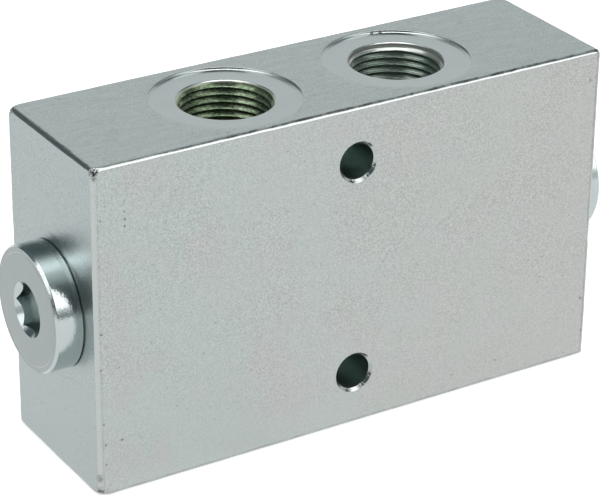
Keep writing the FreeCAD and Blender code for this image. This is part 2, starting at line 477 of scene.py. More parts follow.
@dataclass(frozen=True)
class PlatedFinish:
    """Milled steel with a pale zinc plating.

    Attributes:
        front: Colour of the broad faces towards the left.
        warm: Their colour towards the right.
        top: Colour of the narrow faces, lighter than the broad ones: painted light, set to match how bright
            these faces look.
        end: Colour of the end faces, darker than the broad ones: painted shade, set to match how dark these
            faces look.
        rosy: Colour of the broad faces in patches.
        rubbed: Colour of the edges, where handling has polished them.
        pit: Colour of the pits.
        grime_and_shade: Colour of the dark marks, and of the painted shade lines.
        grain_size: Size of the plating's grain, in metres.
        grain_light: Range of the grain's noise, and the light at its ends.
        grain_relief: Relief of the grain.
        grain_patches: How strongly the grain shows from place to place.
        grain_fade: Range of heights in metres, and the grain's strength at its ends.
        roughness: Middle roughness of the faces.
        rubbed_roughness: Roughness of the edges.
        facing_band: Cosines between which the painted light of a narrow face, and the painted shade of an
            end face, takes over.
        edge_band: Cosines between which a surface turned from all axes becomes a rubbed edge.
        warm_range: Places along the block in metres between which it turns warm.
        warm_drift: Size of the noise that shifts those places, and how far, in metres.
        rosy_patches: Share of the rosy colour.
        streaks: Light of the milling streaks along the narrow faces.
        smudges: Light of the smudges there.
        pits: Share of the pits.
        break_stretch: Factor on each coordinate of the noise that breaks the lines up.
        gap_stretch: Factor on each coordinate of the noise that leaves gaps in them.
        gap_band: Range of that noise from a gap to a full line.
        mark_and_line_relief: Relief of the marks and of the painted shade lines.
        stains: Marks on the plating.
        lines: Painted shade lines beside the edges.
    """

    front: Colour = (0.507, 0.569, 0.549)
    warm: Colour = (0.520, 0.538, 0.523)
    top: Colour = (0.540, 0.614, 0.610)
    end: Colour = (0.436, 0.493, 0.492)
    rosy: Colour = (0.532, 0.535, 0.526)
    rubbed: Colour = (0.52, 0.56, 0.55)
    pit: Colour = (0.18, 0.2, 0.19)
    grime_and_shade: Colour = (0.055, 0.06, 0.052)
    grain_size: float = 0.00026
    grain_light: Spread = (*USUAL_NOISE, 0.80, 1.14)
    grain_relief: Relief = (0.00002, 0.35)
    grain_patches: Pattern = Pattern(0.011, 2.0, (*NARROW_NOISE, 0.65, 1.1))
    grain_fade: Spread = (0.0, 0.035, 0.55, 1.0)
    roughness: float = 0.33
    rubbed_roughness: float = 0.2
    facing_band: tuple[float, float] = (0.5, 0.9)
    edge_band: tuple[float, float] = (0.985, 0.93)
    warm_range: tuple[float, float] = (-0.03, 0.09)
    warm_drift: tuple[float, float] = (0.012, 0.07)
    rosy_patches: Pattern = Pattern(0.010, 3.0, (0.46, 0.66, 0.0, 0.65))
    streaks: Pattern = Pattern(1.0, 3.0, (*USUAL_NOISE, 0.945, 1.035), (160.0, 1100.0, 1100.0))
    smudges: Pattern = Pattern(0.0018, 3.0, (0.56, 0.74, 1.0, 0.9))
    pits: Pattern = Pattern(0.000572, 0.0, (0.76, 0.86, 0.0, 0.4))
    break_stretch: Point = (420.0, 1100.0, 420.0)
    gap_stretch: Point = (430.0, 40.0, 40.0)
    gap_band: tuple[float, float] = (0.40, 0.52)
    mark_and_line_relief: Relief = (-0.00012, 0.5)
    stains: tuple[Stain, ...] = (
        Stain((-49.7, -14.8, 59.4), 1.0, 0.8),
        Stain((-49.5, -15.0, 58.4), 0.6, 0.7),
        Stain((-49.8, -14.8, 0.6), 1.5, 0.85),
        Stain((-49.9, -14.9, 3.6), 1.1, 0.5),
        Stain((-49.8, 14.0, 59.7), 1.2, 0.8),
        Stain((-49.0, -15.0, 30.6), 0.35, 0.8),
        Stain((-49.2, -15.0, 24.0), 0.3, 0.6),
        Stain((-45.6, -15.0, 10.0), 0.35, 0.7),
        Stain((-48.9, -15.0, 13.8), 0.3, 0.6),
        Stain((-48.6, -15.0, 9.9), 0.32, 0.6),
        Stain((-48.6, -15.0, 6.1), 0.3, 0.6),
        Stain((-44.3, -15.0, 51.6), 0.28, 0.6),
        Stain((-44.2, -15.0, 50.2), 0.36, 0.75),
        Stain((-44.3, -15.0, 49.0), 0.34, 0.7),
        Stain((-48.6, -15.0, 50.9), 0.3, 0.6),
        Stain((48.6, -15.0, 11.8), 0.35, 0.6),
        Stain((49.3, -15.0, 5.0), 0.35, 0.6),
        Stain((47.8, -15.0, 54.8), 0.5, 0.35),
        Stain((30.1, -15.0, 4.1), 0.3, 0.6),
        Stain((22.7, 4.7, 60.0), 0.35, 0.4),
        Stain((-28.8, -3.9, 60.0), 0.3, 0.6),
        Stain((-24.0, -12.9, 60.0), 0.3, 0.6),
    )
    # Painted shade lines: dark bands beside the edges, painted where the edge break's reflection turns
    # dark; the one behind the front top edge is the strongest.
    lines: tuple[ShadeLine, ...] = (
        ShadeLine(1, -14.42, (0, 0, 1), 0.46, 0.95, (-62.0, -8.0), 0.6),
        ShadeLine(0, 49.25, (0, -1, 0), 0.30, 0.30),
        ShadeLine(0, -49.1, (0, -1, 0), 0.16, 0.16),
        ShadeLine(2, 0.62, (0, -1, 0), 0.22, 0.32),
        ShadeLine(0, -49.3, (0, 0, 1), 0.2, 0.3),
    )

    def line_share(self, graph: Graph, line: ShadeLine, noise: Socket) -> Socket:
        """How much of one painted shade line shows: full at its middle, ragged with noise, and kept to its
        face.

        Args:
            graph: The material's nodes.
            line: The line.
            noise: Noise that breaks the line up.

        Returns:
            The share, from 0 to its strength.
        """
        away = graph.maths("ABSOLUTE", graph.maths("SUBTRACT", graph.parts[line.across], line.at * MM))
        share = graph.ragged(LINE_MARK, away, noise, line.half_width * MM, line.strength)
        share = graph.maths("MULTIPLY", share, graph.ramp(graph.facing(line.face), *line.face_band))
        if line.fade:
            grown = graph.ramp(graph.parts[0], line.fade[0] * MM, line.fade[1] * MM)
            share = graph.maths("MULTIPLY", share, grown)
        if line.gaps:
            lengths = graph.noise(1.0, 2.0, graph.stretched(self.gap_stretch))
            share = graph.maths("MULTIPLY", share, graph.ramp(lengths, *self.gap_band, 1 - line.gaps, 1.0))
        return share

    def marks_and_shade_lines(self, graph: Graph) -> Socket:
        """Share of the dark marks and of the painted shade lines, the strongest one at each place.

        Args:
            graph: The material's nodes.

        Returns:
            The share, from 0 to 1.
        """
        noise = graph.noise(1.0, 3.0, graph.stretched(self.break_stretch))
        total = graph.marks(self.stains)
        for line in self.lines:
            total = graph.maths("MAXIMUM", total, self.line_share(graph, line, noise))
        return total

    def broad_colour(self, graph: Graph) -> Socket:
        """Colour of the broad faces: it turns warm along the block and rosy in patches.

        Args:
            graph: The material's nodes.

        Returns:
            The colour.
        """
        size, reach = self.warm_drift
        drift = graph.maths("MULTIPLY", graph.noise(size, 3.0), reach)
        place = graph.maths("ADD", graph.parts[0], drift)
        colour = graph.mixed(graph.ramp(place, *self.warm_range), self.front, self.warm)
        return graph.mixed(graph.pattern(self.rosy_patches), colour, self.rosy)

    def make(self) -> bpy.types.Material:
        """Build the plating's material: a colour for each face, which paints light and shade per face, then
        grain, streaks, pits, dark marks and painted shade lines.

        Returns:
            The material.
        """
        graph = Graph("zinc_plated_block")
        endward, forward, upward = (graph.along_axis(axis) for axis in range(3))
        squarest = graph.maths("MAXIMUM", graph.maths("MAXIMUM", upward, endward), forward)
        on_edge = graph.ramp(squarest, *self.edge_band)
        on_narrow = graph.ramp(upward, *self.facing_band)
        # The narrow faces get a lighter colour and the end faces a darker one: painted light and painted
        # shade, one colour per face.
        colour = graph.mixed(on_narrow, self.broad_colour(graph), self.top)
        colour = graph.mixed(graph.ramp(endward, *self.facing_band), colour, self.end)
        grain = graph.noise(self.grain_size, 3.0)
        fade = graph.ramp(graph.parts[2], *self.grain_fade)
        patches = graph.maths("MULTIPLY", graph.pattern(self.grain_patches), fade)
        grained = graph.tinted(colour, graph.ramp(grain, *self.grain_light))
        colour = graph.mixed(patches, colour, grained)
        streaked = graph.tinted(colour, graph.pattern(self.streaks))
        streaked = graph.tinted(streaked, graph.pattern(self.smudges))
        colour = graph.mixed(on_narrow, colour, streaked)
        colour = graph.mixed(graph.pattern(self.pits), colour, self.pit)
        colour = graph.mixed(on_edge, colour, self.rubbed)
        # The stains are marks on the plating; the lines are painted shade.
        marks_and_shade_lines = self.marks_and_shade_lines(graph)
        colour = graph.mixed(marks_and_shade_lines, colour, self.grime_and_shade)
        polish = graph.maths("MULTIPLY", on_edge, self.rubbed_roughness - self.roughness)
        roughness = graph.maths("ADD", graph.uneven(grain, self.roughness, 0.06, 0.08), polish)
        relief = graph.bump(marks_and_shade_lines, *self.mark_and_line_relief, graph.bump(grain, *self.grain_relief))
        return graph.finish(colour, roughness, 1.0, relief)


@dataclass(frozen=True)
class TurnedFinish:
    """Metal with fine rings round an axis, as a lathe or a drill leaves it.

    Attributes:
        name: The material's name.
        colour: Base colour.
        roughness: Roughness.
        axis: Index of the axis that the rings run round.
        centre: A point on that axis, in millimetres.
        flat_colour: Colour of flat faces square to the axis, or None for the same colour; it paints shade
            on the plug's face and light on the spotface floor.
        flat_band: Cosines between which a face becomes flat.
        ring_pitch: Distance between rings, in metres.
        ring_depth: Depth of the rings, in metres.
        ring_share: Share of that depth that shows.
        ring_light: How much the colour varies from ring to ring.
        cloud: How much the colour varies from place to place.
        cloud_size: Distance over which it varies, in metres.
        pebble_size: Size of the plating's fine uneven relief, in metres.
        pebble_depth: Depth of that relief, in metres.
        scuff: Colour of the marks.
        scuff_relief: Relief of the marks.
        stains: Marks on the metal.
    """

    name: str
    colour: Colour
    roughness: float
    axis: int = 0
    centre: Point = (0.0, 0.0, 30.0)
    flat_colour: Optional[Colour] = None
    flat_band: tuple[float, float] = (0.8, 0.97)
    ring_pitch: float = 0.00016
    ring_depth: float = 0.000003
    ring_share: float = 0.6
    ring_light: float = 0.05
    cloud: float = 0.12
    cloud_size: float = 0.004
    pebble_size: float = 0.00042
    pebble_depth: float = 0.0
    scuff: Colour = (0.05, 0.055, 0.05)
    scuff_relief: Relief = (-0.0002, 0.8)
    stains: tuple[Stain, ...] = ()

    def rings(self, graph: Graph) -> Socket:
        """Noise that depends only on the place along the axis and the distance from it.

        Args:
            graph: The material's nodes.

        Returns:
            The noise value.
        """
        flatten = tuple(float(index != self.axis) for index in range(3))
        shifted = graph.vector("SUBTRACT", graph.place, metres(self.centre), "Vector")
        flat = graph.vector("MULTIPLY", shifted, flatten, "Vector")
        radius = graph.vector("LENGTH", flat, (0.0, 0.0, 0.0))
        joined = graph.add("ShaderNodeCombineXYZ", {0: graph.parts[self.axis], 1: radius})
        return graph.noise(self.ring_pitch, 2.0, joined)

    def make(self) -> bpy.types.Material:
        """Build the material: rings and clouds vary its light, and the rings give its relief.

        Returns:
            The material.
        """
        graph = Graph(self.name)
        colour = self.colour
        # Flat faces get their own colour, which paints their light or shade.
        if self.flat_colour:
            flat = graph.ramp(graph.along_axis(self.axis), *self.flat_band)
            colour = graph.mixed(flat, self.colour, self.flat_colour)
        clouds = graph.noise(self.cloud_size, 3.0)
        light = graph.ramp(clouds, *HALF_NOISE, 1 - self.cloud, 1 + self.cloud * 0.5)
        rings = self.rings(graph)
        ring_light = graph.ramp(rings, *USUAL_NOISE, 1 - self.ring_light, 1 + self.ring_light * 0.6)
        marks = graph.marks(self.stains)
        colour = graph.mixed(marks, graph.tinted(graph.tinted(colour, light), ring_light), self.scuff)
        relief = None
        if self.pebble_depth:
            relief = graph.bump(graph.noise(self.pebble_size, 2.0), self.pebble_depth)
        relief = graph.bump(rings, self.ring_depth, self.ring_share, relief)
        relief = graph.bump(marks, *self.scuff_relief, relief)
        return graph.finish(colour, graph.uneven(clouds, self.roughness, 0.04, 0.06), 1.0, relief)


@dataclass(frozen=True)
class ThreadFinish:
    """Plated thread with an oily tint.

    Attributes:
        name: The material's name.
        thin: Colour where the oil film is thin.
        thick: Colour where it is thick.
        mouth: Colour of the clean lead-in at the mouth.
        mouth_depth: How deep the lead-in goes, in metres.
        chatter: How much the light varies along the thread.
        chatter_stretch: Factor on each coordinate of that light's noise.
        chatter_relief: Relief of that noise where the light varies fully.
        film: How thick the oil film is from place to place.
        root_painted_shade: Share of the colour left in the thread's root, which paints shade there.
        root: Radii over which the colour goes down to that share, in metres.
        roughness: Roughness.
        metallic: Share of the light that the bare plating mirrors; the oil film scatters the rest.
        middle: Height that the ports are mirrored about, in metres.
        reach: Distance of the faces from that height, in metres.
        mouth_blend: Half the distance over which the lead-in's colour fades, in metres.
    """

    name: str
    thin: Colour
    thick: Colour
    mouth: Colour
    mouth_depth: float
    chatter: float = 0.15
    chatter_stretch: Point = (1900.0, 1900.0, 3800.0)
    chatter_relief: Relief = (0.00003, 0.8)
    film: Pattern = Pattern(0.0022, 3.0, (*USUAL_NOISE, 0.0, 1.0))
    root_painted_shade: float = 0.5
    root: tuple[float, float] = (7.95 * MM, 8.2 * MM)
    roughness: float = 0.15
    metallic: float = 0.66
    middle: float = 0.03
    reach: float = 0.03
    mouth_blend: float = 0.1 * MM

    def radius(self, graph: Graph, centre: float) -> Socket:
        """Distance from the port's axis: the root of the sum of the squares of both ways across.

        Args:
            graph: The material's nodes.
            centre: Place of the port's axis along the block, in metres.

        Returns:
            The distance, in metres.
        """
        along, across = graph.maths("SUBTRACT", graph.parts[0], centre), graph.parts[1]
        squares = [graph.maths("MULTIPLY", part, part) for part in (along, across)]
        return graph.maths("POWER", graph.maths("ADD", *squares), 0.5)

    def make(self, name: str, centre: float) -> bpy.types.Material:
        """Build the material, darker and more tinted where the oil film is thick.

        Args:
            name: Name of the port.
            centre: Place of the port's axis along the block, in metres.

        Returns:
            The material.
        """
        graph = Graph(f"{name}_{self.name}")
        colour = graph.mixed(graph.pattern(self.film), self.thin, self.thick)
        chatter = graph.noise(1.0, 2.0, graph.stretched(self.chatter_stretch))
        light = graph.ramp(chatter, *NARROW_NOISE, 1 - self.chatter, 1 + self.chatter)
        # Darker towards the thread's root: painted shade.
        root_painted_shade = graph.ramp(self.radius(graph, centre), *self.root, 1.0, self.root_painted_shade)
        colour = graph.tinted(graph.tinted(colour, light), root_painted_shade)
        outward = graph.maths("ABSOLUTE", graph.maths("SUBTRACT", graph.parts[2], self.middle))
        lead_in_ends = self.reach - self.mouth_depth
        clean = graph.ramp(outward, lead_in_ends - self.mouth_blend, lead_in_ends + self.mouth_blend)
        colour = graph.mixed(clean, colour, self.mouth)
        depth, strength = self.chatter_relief
        relief = graph.bump(chatter, depth * self.chatter, strength)
        roughness = graph.uneven(chatter, self.roughness, 0.04, 0.08)
        return graph.finish(colour, roughness, self.metallic, relief)


@dataclass(frozen=True)
class SoftFinish:
    """Rubber or plastic of a seal ring.

    Attributes:
        name: The material's name.
        colour: Base colour.
        roughness: Roughness.
        grain: Size of the surface grain, in metres.
        grain_relief: Relief of the grain.
        bloom: Light of the faint bloom.
    """

    name: str
    colour: Colour
    roughness: float
    grain: float = 0.0002
    grain_relief: Relief = (0.00001, 0.5)
    bloom: Pattern = Pattern(0.003, 3.0, (0.3, 0.75, 0.85, 1.25))

    def make(self) -> bpy.types.Material:
        """Build the material: fine grain with a faint bloom.

        Returns:
            The material.
        """
        graph = Graph(self.name)
        colour = graph.tinted(self.colour, graph.pattern(self.bloom))
        grain = graph.noise(self.grain, 2.0)
        relief = graph.bump(grain, *self.grain_relief)
        return graph.finish(colour, graph.uneven(grain, self.roughness, 0.08, 0.08), 0.0, relief)


def turn_angles(steps: int) -> np.ndarray:
    """Angles of equal steps round one turn."""
    return np.arange(steps) * FULL_TURN / steps


def grid_faces(rows: int, columns: int, close_rows: bool, close_columns: bool) -> np.ndarray:
    """Quads that join a grid of points, each corner one row or one column on from the last.

    Args:
        rows: Number of rows.
        columns: Number of columns.
        close_rows: Whether the last row joins the first.
        close_columns: Whether the last column joins the first.

    Returns:
        Point numbers of each quad.
    """
    row = np.arange(rows if close_rows else rows - 1)
    column = np.arange(columns if close_columns else columns - 1)
    r, c = np.meshgrid(row, column, indexing="ij")
    next_r, next_c = (r + 1) % rows, (c + 1) % columns
    corners = (r * columns + c, next_r * columns + c, next_r * columns + next_c, r * columns + next_c)
    return np.stack(corners, axis=-1).reshape(-1, 4)


def smooth_noise(points: np.ndarray, size: float, seed: int) -> np.ndarray:
    """Random values on a lattice, eased from one lattice point to the next along each axis.

    Args:
        points: Places, in millimetres, with X, Y and Z last.
        size: Distance between lattice points, in millimetres.
        seed: Number that fixes the random values.

    Returns:
        A value from -1 to 1 for each place.
    """
    cells = 32
    lattice = np.random.default_rng(seed).uniform(-1, 1, (cells, cells, cells))
    scaled = points / size + 1000.0
    cell = np.floor(scaled).astype(int)
    part = scaled - cell
    part = part * part * (3 - 2 * part)
    total = np.zeros(points.shape[:-1])
    for corner in np.ndindex(2, 2, 2):
        index = (cell + corner) % cells
        share = np.prod(np.where(np.array(corner) == 1, part, 1 - part), axis=-1)
        total += share * lattice[index[..., 0], index[..., 1], index[..., 2]]
    return total


@dataclass(frozen=True)
class Axis:
    """A line that turned pieces are built on.

    Attributes:
        origin: A point on it, in millimetres.
        along: Unit direction along it.
        across: Unit direction square to it, where angles start.
    """

    origin: Point
    along: Point
    across: Point

    def place(self, distance: np.ndarray, radius: np.ndarray, angle: np.ndarray) -> np.ndarray:
        """Turn cylinder coordinates into points.

        A point is the origin, plus its distance times the axis direction, plus its radius times the
        cosine of its angle across, plus its radius times the sine square to both.

        Args:
            distance: Distance along the axis.
            radius: Distance from the axis.
            angle: Angle about the axis.

        Returns:
            Points with X, Y and Z last.
        """
        along, across = np.array(self.along, float), np.array(self.across, float)
        third = np.cross(along, across)
        point = np.array(self.origin) + distance[..., None] * along
        point = point + (radius * np.cos(angle))[..., None] * across
        return point + (radius * np.sin(angle))[..., None] * third


def placed(name: str, data: bpy.types.ID) -> bpy.types.Object:
    """Make an object of a mesh, lamp or lens, and put it in the scene.

    Args:
        name: The object's name.
        data: What it is made of.

    Returns:
        The new object.
    """
    thing = bpy.data.objects.new(name, data)
    bpy.context.scene.collection.objects.link(thing)
    return thing


def mesh_object(
    name: str, points: np.ndarray, faces: np.ndarray, finishes: Sequence[bpy.types.Material] = ()
) -> bpy.types.Object:
    """Make an object from points in millimetres, with doubled points merged and faces turned outwards.

    Args:
        name: The object's name.
        points: Points in any array shape, with X, Y and Z last.
        faces: Point numbers of each face.
        finishes: Materials, one for each slot.

    Returns:
        The new object.
    """
    mesh = bpy.data.meshes.new(name)
    mesh.from_pydata((points.reshape(-1, 3) * MM).tolist(), [], faces.tolist())
    work = bmesh.new()
    work.from_mesh(mesh)
    bmesh.ops.remove_doubles(work, verts=work.verts, dist=MERGE_DISTANCE)
    bmesh.ops.recalc_face_normals(work, faces=work.faces)
    work.to_mesh(mesh)
    work.free()
    for finish in finishes:
        mesh.materials.append(finish)
    return placed(name, mesh)


def face_middles(mesh: bpy.types.Mesh) -> np.ndarray:
    """Find the middles of a mesh's faces.

    Args:
        mesh: The mesh.

    Returns:
        Rows of their X, Y and Z, in millimetres.
    """
    middle = np.zeros(len(mesh.polygons) * 3)
    mesh.polygons.foreach_get("center", middle)
    return (middle.reshape(-1, 3) / MM).T


def soften(mesh: bpy.types.Mesh, sharp_degrees: float) -> None:
    """Shade a mesh smoothly, apart from edges sharper than an angle.

    Args:
        mesh: The mesh.
        sharp_degrees: Angle past which an edge stays sharp.
    """
    mesh.polygons.foreach_set("use_smooth", np.ones(len(mesh.polygons), bool))
    mesh.set_sharp_from_angle(angle=math.radians(sharp_degrees))


def turned(
    name: str, profile: Sequence[tuple[float, float]], axis: Axis, segments: int
) -> bpy.types.Object:
    """Turn a closed profile about an axis: each point keeps its distance along it and its radius.

    Args:
        name: The object's name.
        profile: Pairs of distance along the axis and radius.
        axis: The axis.
        segments: Number of steps round it.

    Returns:
        The turned object.
    """
    outline = np.array(profile, float)
    distance, theta = np.meshgrid(outline[:, 0], turn_angles(segments), indexing="ij")
    radius = np.repeat(outline[:, 1:], segments, axis=1)
    open_ended = outline[0, 1] == 0 and outline[-1, 1] == 0
    faces = grid_faces(len(outline), segments, not open_ended, True)
    return mesh_object(name, axis.place(distance, radius, theta), faces)


@dataclass(frozen=True)
class ThreadForm:
    """Parallel pipe thread of the ports and plugs, in millimetres.

    Attributes:
        major: Major radius.
        minor: Minor radius.
        pitch: Distance between crests.
        worn: How far the crests stand back from the minor radius.
        start: Turn at which a crest begins.
        section: Phases and how far out the surface is at each, from 0 on the crest to 1 in the root.
    """

    major: float = 8.331
    minor: float = 7.475
    pitch: float = 1.337
    worn: float = 0.236
    start: float = 0.32
    section: tuple[tuple[float, ...], tuple[float, ...]] = (
        (0.0, 0.05, 0.12, 0.42, 0.6, 1.0),
        (0.0, 0.0, 0.24, 0.88, 1.0, 0.0),
    )

    def radius(self, distance: np.ndarray, angle: np.ndarray) -> np.ndarray:
        """Radius of the thread's surface.

        The phase is the distance in pitches less the angle in turns, which makes the thread
        right-handed. Over one turn of the phase the radius stays on the crest, goes out to the major
        radius down the flank that faces out of the hole, and comes back up the other.

        Args:
            distance: Distance along the axis.
            angle: Angle about the axis.

        Returns:
            The radius at each place.
        """
        phase = (distance / self.pitch - angle / FULL_TURN + self.start) % 1.0
        crest = self.minor + self.worn
        return crest + (self.major - crest) * np.interp(phase, *self.section)


@dataclass
class Port:
    """A threaded port: the hollow that it leaves in the block and the thread inside it, in millimetres.

    Attributes:
        name: Name of the port.
        x: Place along the block.
        upward: Whether it opens on the top.
        finish: Finish of its thread.
        thread: Form of its thread.
        spotface_radius: Radius of the spotface.
        spotface_depth: Depth of its floor.
        spotface_wall: Depth of the straight part of its wall, above the corner.
        corner_slopes: Slopes of the corner's rows in degrees, from the wall down to the floor.
        rim_break: Heights and extra radii of the rows that break the spotface's rim.
        mouth_radius: Radius of the hole in the spotface's floor.
        lead_in: Depths and radii of the cone that cuts the thread back near the mouth.
        lip_width: Width of the rounded lip between the floor and the hole.
        lip_depth: Depth of the lip.
        lip_middle: Shares of that depth and width at the lip's middle row.
        lip_margin: Width of the flat rows outside the lip.
        mouth_step: Depth over which the hole narrows from the lip to the thread's major radius.
        thread_end: Depth of the thread's last turn.
        drill_end: Depth of the full drill.
        drill_slope: Depth of the drill point for each millimetre of radius.
        passage_radius: Radius of the passage to the main bore.
        overshoot: How far the hollow stands out of the block before it is cut.
        ring_wall: How far the thread's ring goes into the metal.
        ring_gap: How far the thread's surface stands off the bored wall.
        rows_per_pitch: Rows of points for each pitch of the thread.
        segments: Steps round the port.
    """

    name: str
    x: float
    upward: bool
    finish: ThreadFinish
    thread: ThreadForm = field(default_factory=ThreadForm)
    spotface_radius: float = 13.0
    spotface_depth: float = 0.5
    spotface_wall: float = 0.32
    corner_slopes: tuple[float, ...] = (48, 40, 32, 24, 16, 8, 0)
    rim_break: tuple[tuple[float, float], ...] = ((0.0, 0.1), (-0.015, 0.04), (-0.05, 0.0))
    mouth_radius: float = 8.36
    lead_in: tuple[tuple[float, float], ...] = ((0.0, 8.34), (0.74, 8.26), (1.14, 7.68))
    lip_width: float = 0.17
    lip_depth: float = 0.12
    lip_middle: tuple[float, float] = (0.2, 0.75)
    lip_margin: float = 0.2
    mouth_step: float = 0.1
    thread_end: float = 12.0
    drill_end: float = 14.5
    drill_slope: float = math.tan(math.radians(31.0))
    passage_radius: float = 4.25
    overshoot: float = 1.0
    ring_wall: float = 0.02
    ring_gap: float = 0.015
    rows_per_pitch: int = 28
    segments: int = 160

    def axis(self, height: float) -> Axis:
        """The port's axis, pointing out of the block.

        Args:
            height: The block's height.

        Returns:
            The axis.
        """
        if self.upward:
            return Axis((self.x, 0, height), (0, 0, 1), (1, 0, 0))
        return Axis((self.x, 0, 0), (0, 0, -1), (1, 0, 0))

    def hollow(self, height: float) -> bpy.types.Object:
        """The material that the port takes from the block.

        Args:
            height: The block's height.

        Returns:
            A closed turned shape.
        """
        cone = (self.thread.minor - self.passage_radius) * self.drill_slope
        rim, face, mouth = self.spotface_radius, -self.spotface_depth, self.mouth_radius
        slopes = np.radians(self.corner_slopes)
        sweep = (self.spotface_depth - self.spotface_wall) / (1 - math.cos(slopes[0]))
        floor_rim = rim - sweep * math.sin(slopes[0])
        corner = [
            (face + sweep * (1 - math.cos(turn)), floor_rim + sweep * math.sin(turn)) for turn in slopes
        ]
        profile = [
            (self.overshoot, 0.0),
            (self.overshoot, rim + self.rim_break[0][1]),
            *[(level, rim + extra) for level, extra in self.rim_break],
            *corner,
            (face, mouth + self.lip_width + self.lip_margin),
            (face, mouth + self.lip_width),
            (face - self.lip_middle[0] * self.lip_depth, mouth + self.lip_middle[1] * self.lip_width),
            (face - self.lip_depth, mouth),
            (face - self.lip_depth - self.mouth_step, self.thread.major),
            (-self.thread_end, self.thread.major),
            (-self.thread_end, self.thread.minor),
            (-self.drill_end, self.thread.minor),
            (-self.drill_end - cone, self.passage_radius),
            (-height / 2, self.passage_radius),
            (-height / 2, 0.0),
        ]
        return turned(self.name + "_hollow", profile, self.axis(height), self.segments)

    def thread_ring(self, height: float) -> bpy.types.Object:
        """The thread as a closed ring in the port's wall.

        Rows run down the thread's surface, which the lead-in cone cuts back near the mouth, and back up
        a plain wall just inside the metal.

        Args:
            height: The block's height.

        Returns:
            The thread.
        """
        wall = self.thread.major + self.ring_wall
        start = -self.spotface_depth - self.lip_depth
        rows = int(round((start + self.thread_end) / self.thread.pitch * self.rows_per_pitch))
        down = np.linspace(start, -self.thread_end, rows)
        distance, theta = np.meshgrid(down, turn_angles(self.segments), indexing="ij")
        depths, radii = zip(*self.lead_in)
        cone = np.interp(start - distance, depths, radii)
        radius = np.minimum(np.maximum(self.thread.radius(distance, theta), cone), wall) - self.ring_gap
        ones = np.ones((1, self.segments))
        distance = np.vstack([distance, -self.thread_end * ones, start * ones])
        theta = np.vstack([theta, theta[:2]])
        radius = np.vstack([radius, wall * ones, wall * ones])
        points = self.axis(height).place(distance, radius, theta)
        faces = grid_faces(rows + 2, self.segments, True, True)
        finish = self.finish.make(self.name, self.x * MM)
        ring = mesh_object(self.name + "_thread", points, faces, [finish])
        soften(ring.data, THREAD_SHARP)
        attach(ring, "valve_block")
        return ring


@dataclass(frozen=True)
class EdgeBreak:
    """How one edge of the block is broken.

    Attributes:
        side: For each axis the sign of the face that bounds the edge, and 0 for the axis it runs along.
        size: Width of the break on each face, in millimetres.
        roundness: Exponent of its cross-section, where 1 is a flat chamfer and 2 a quarter circle.
    """

    side: tuple[int, int, int]
    size: float
    roundness: float


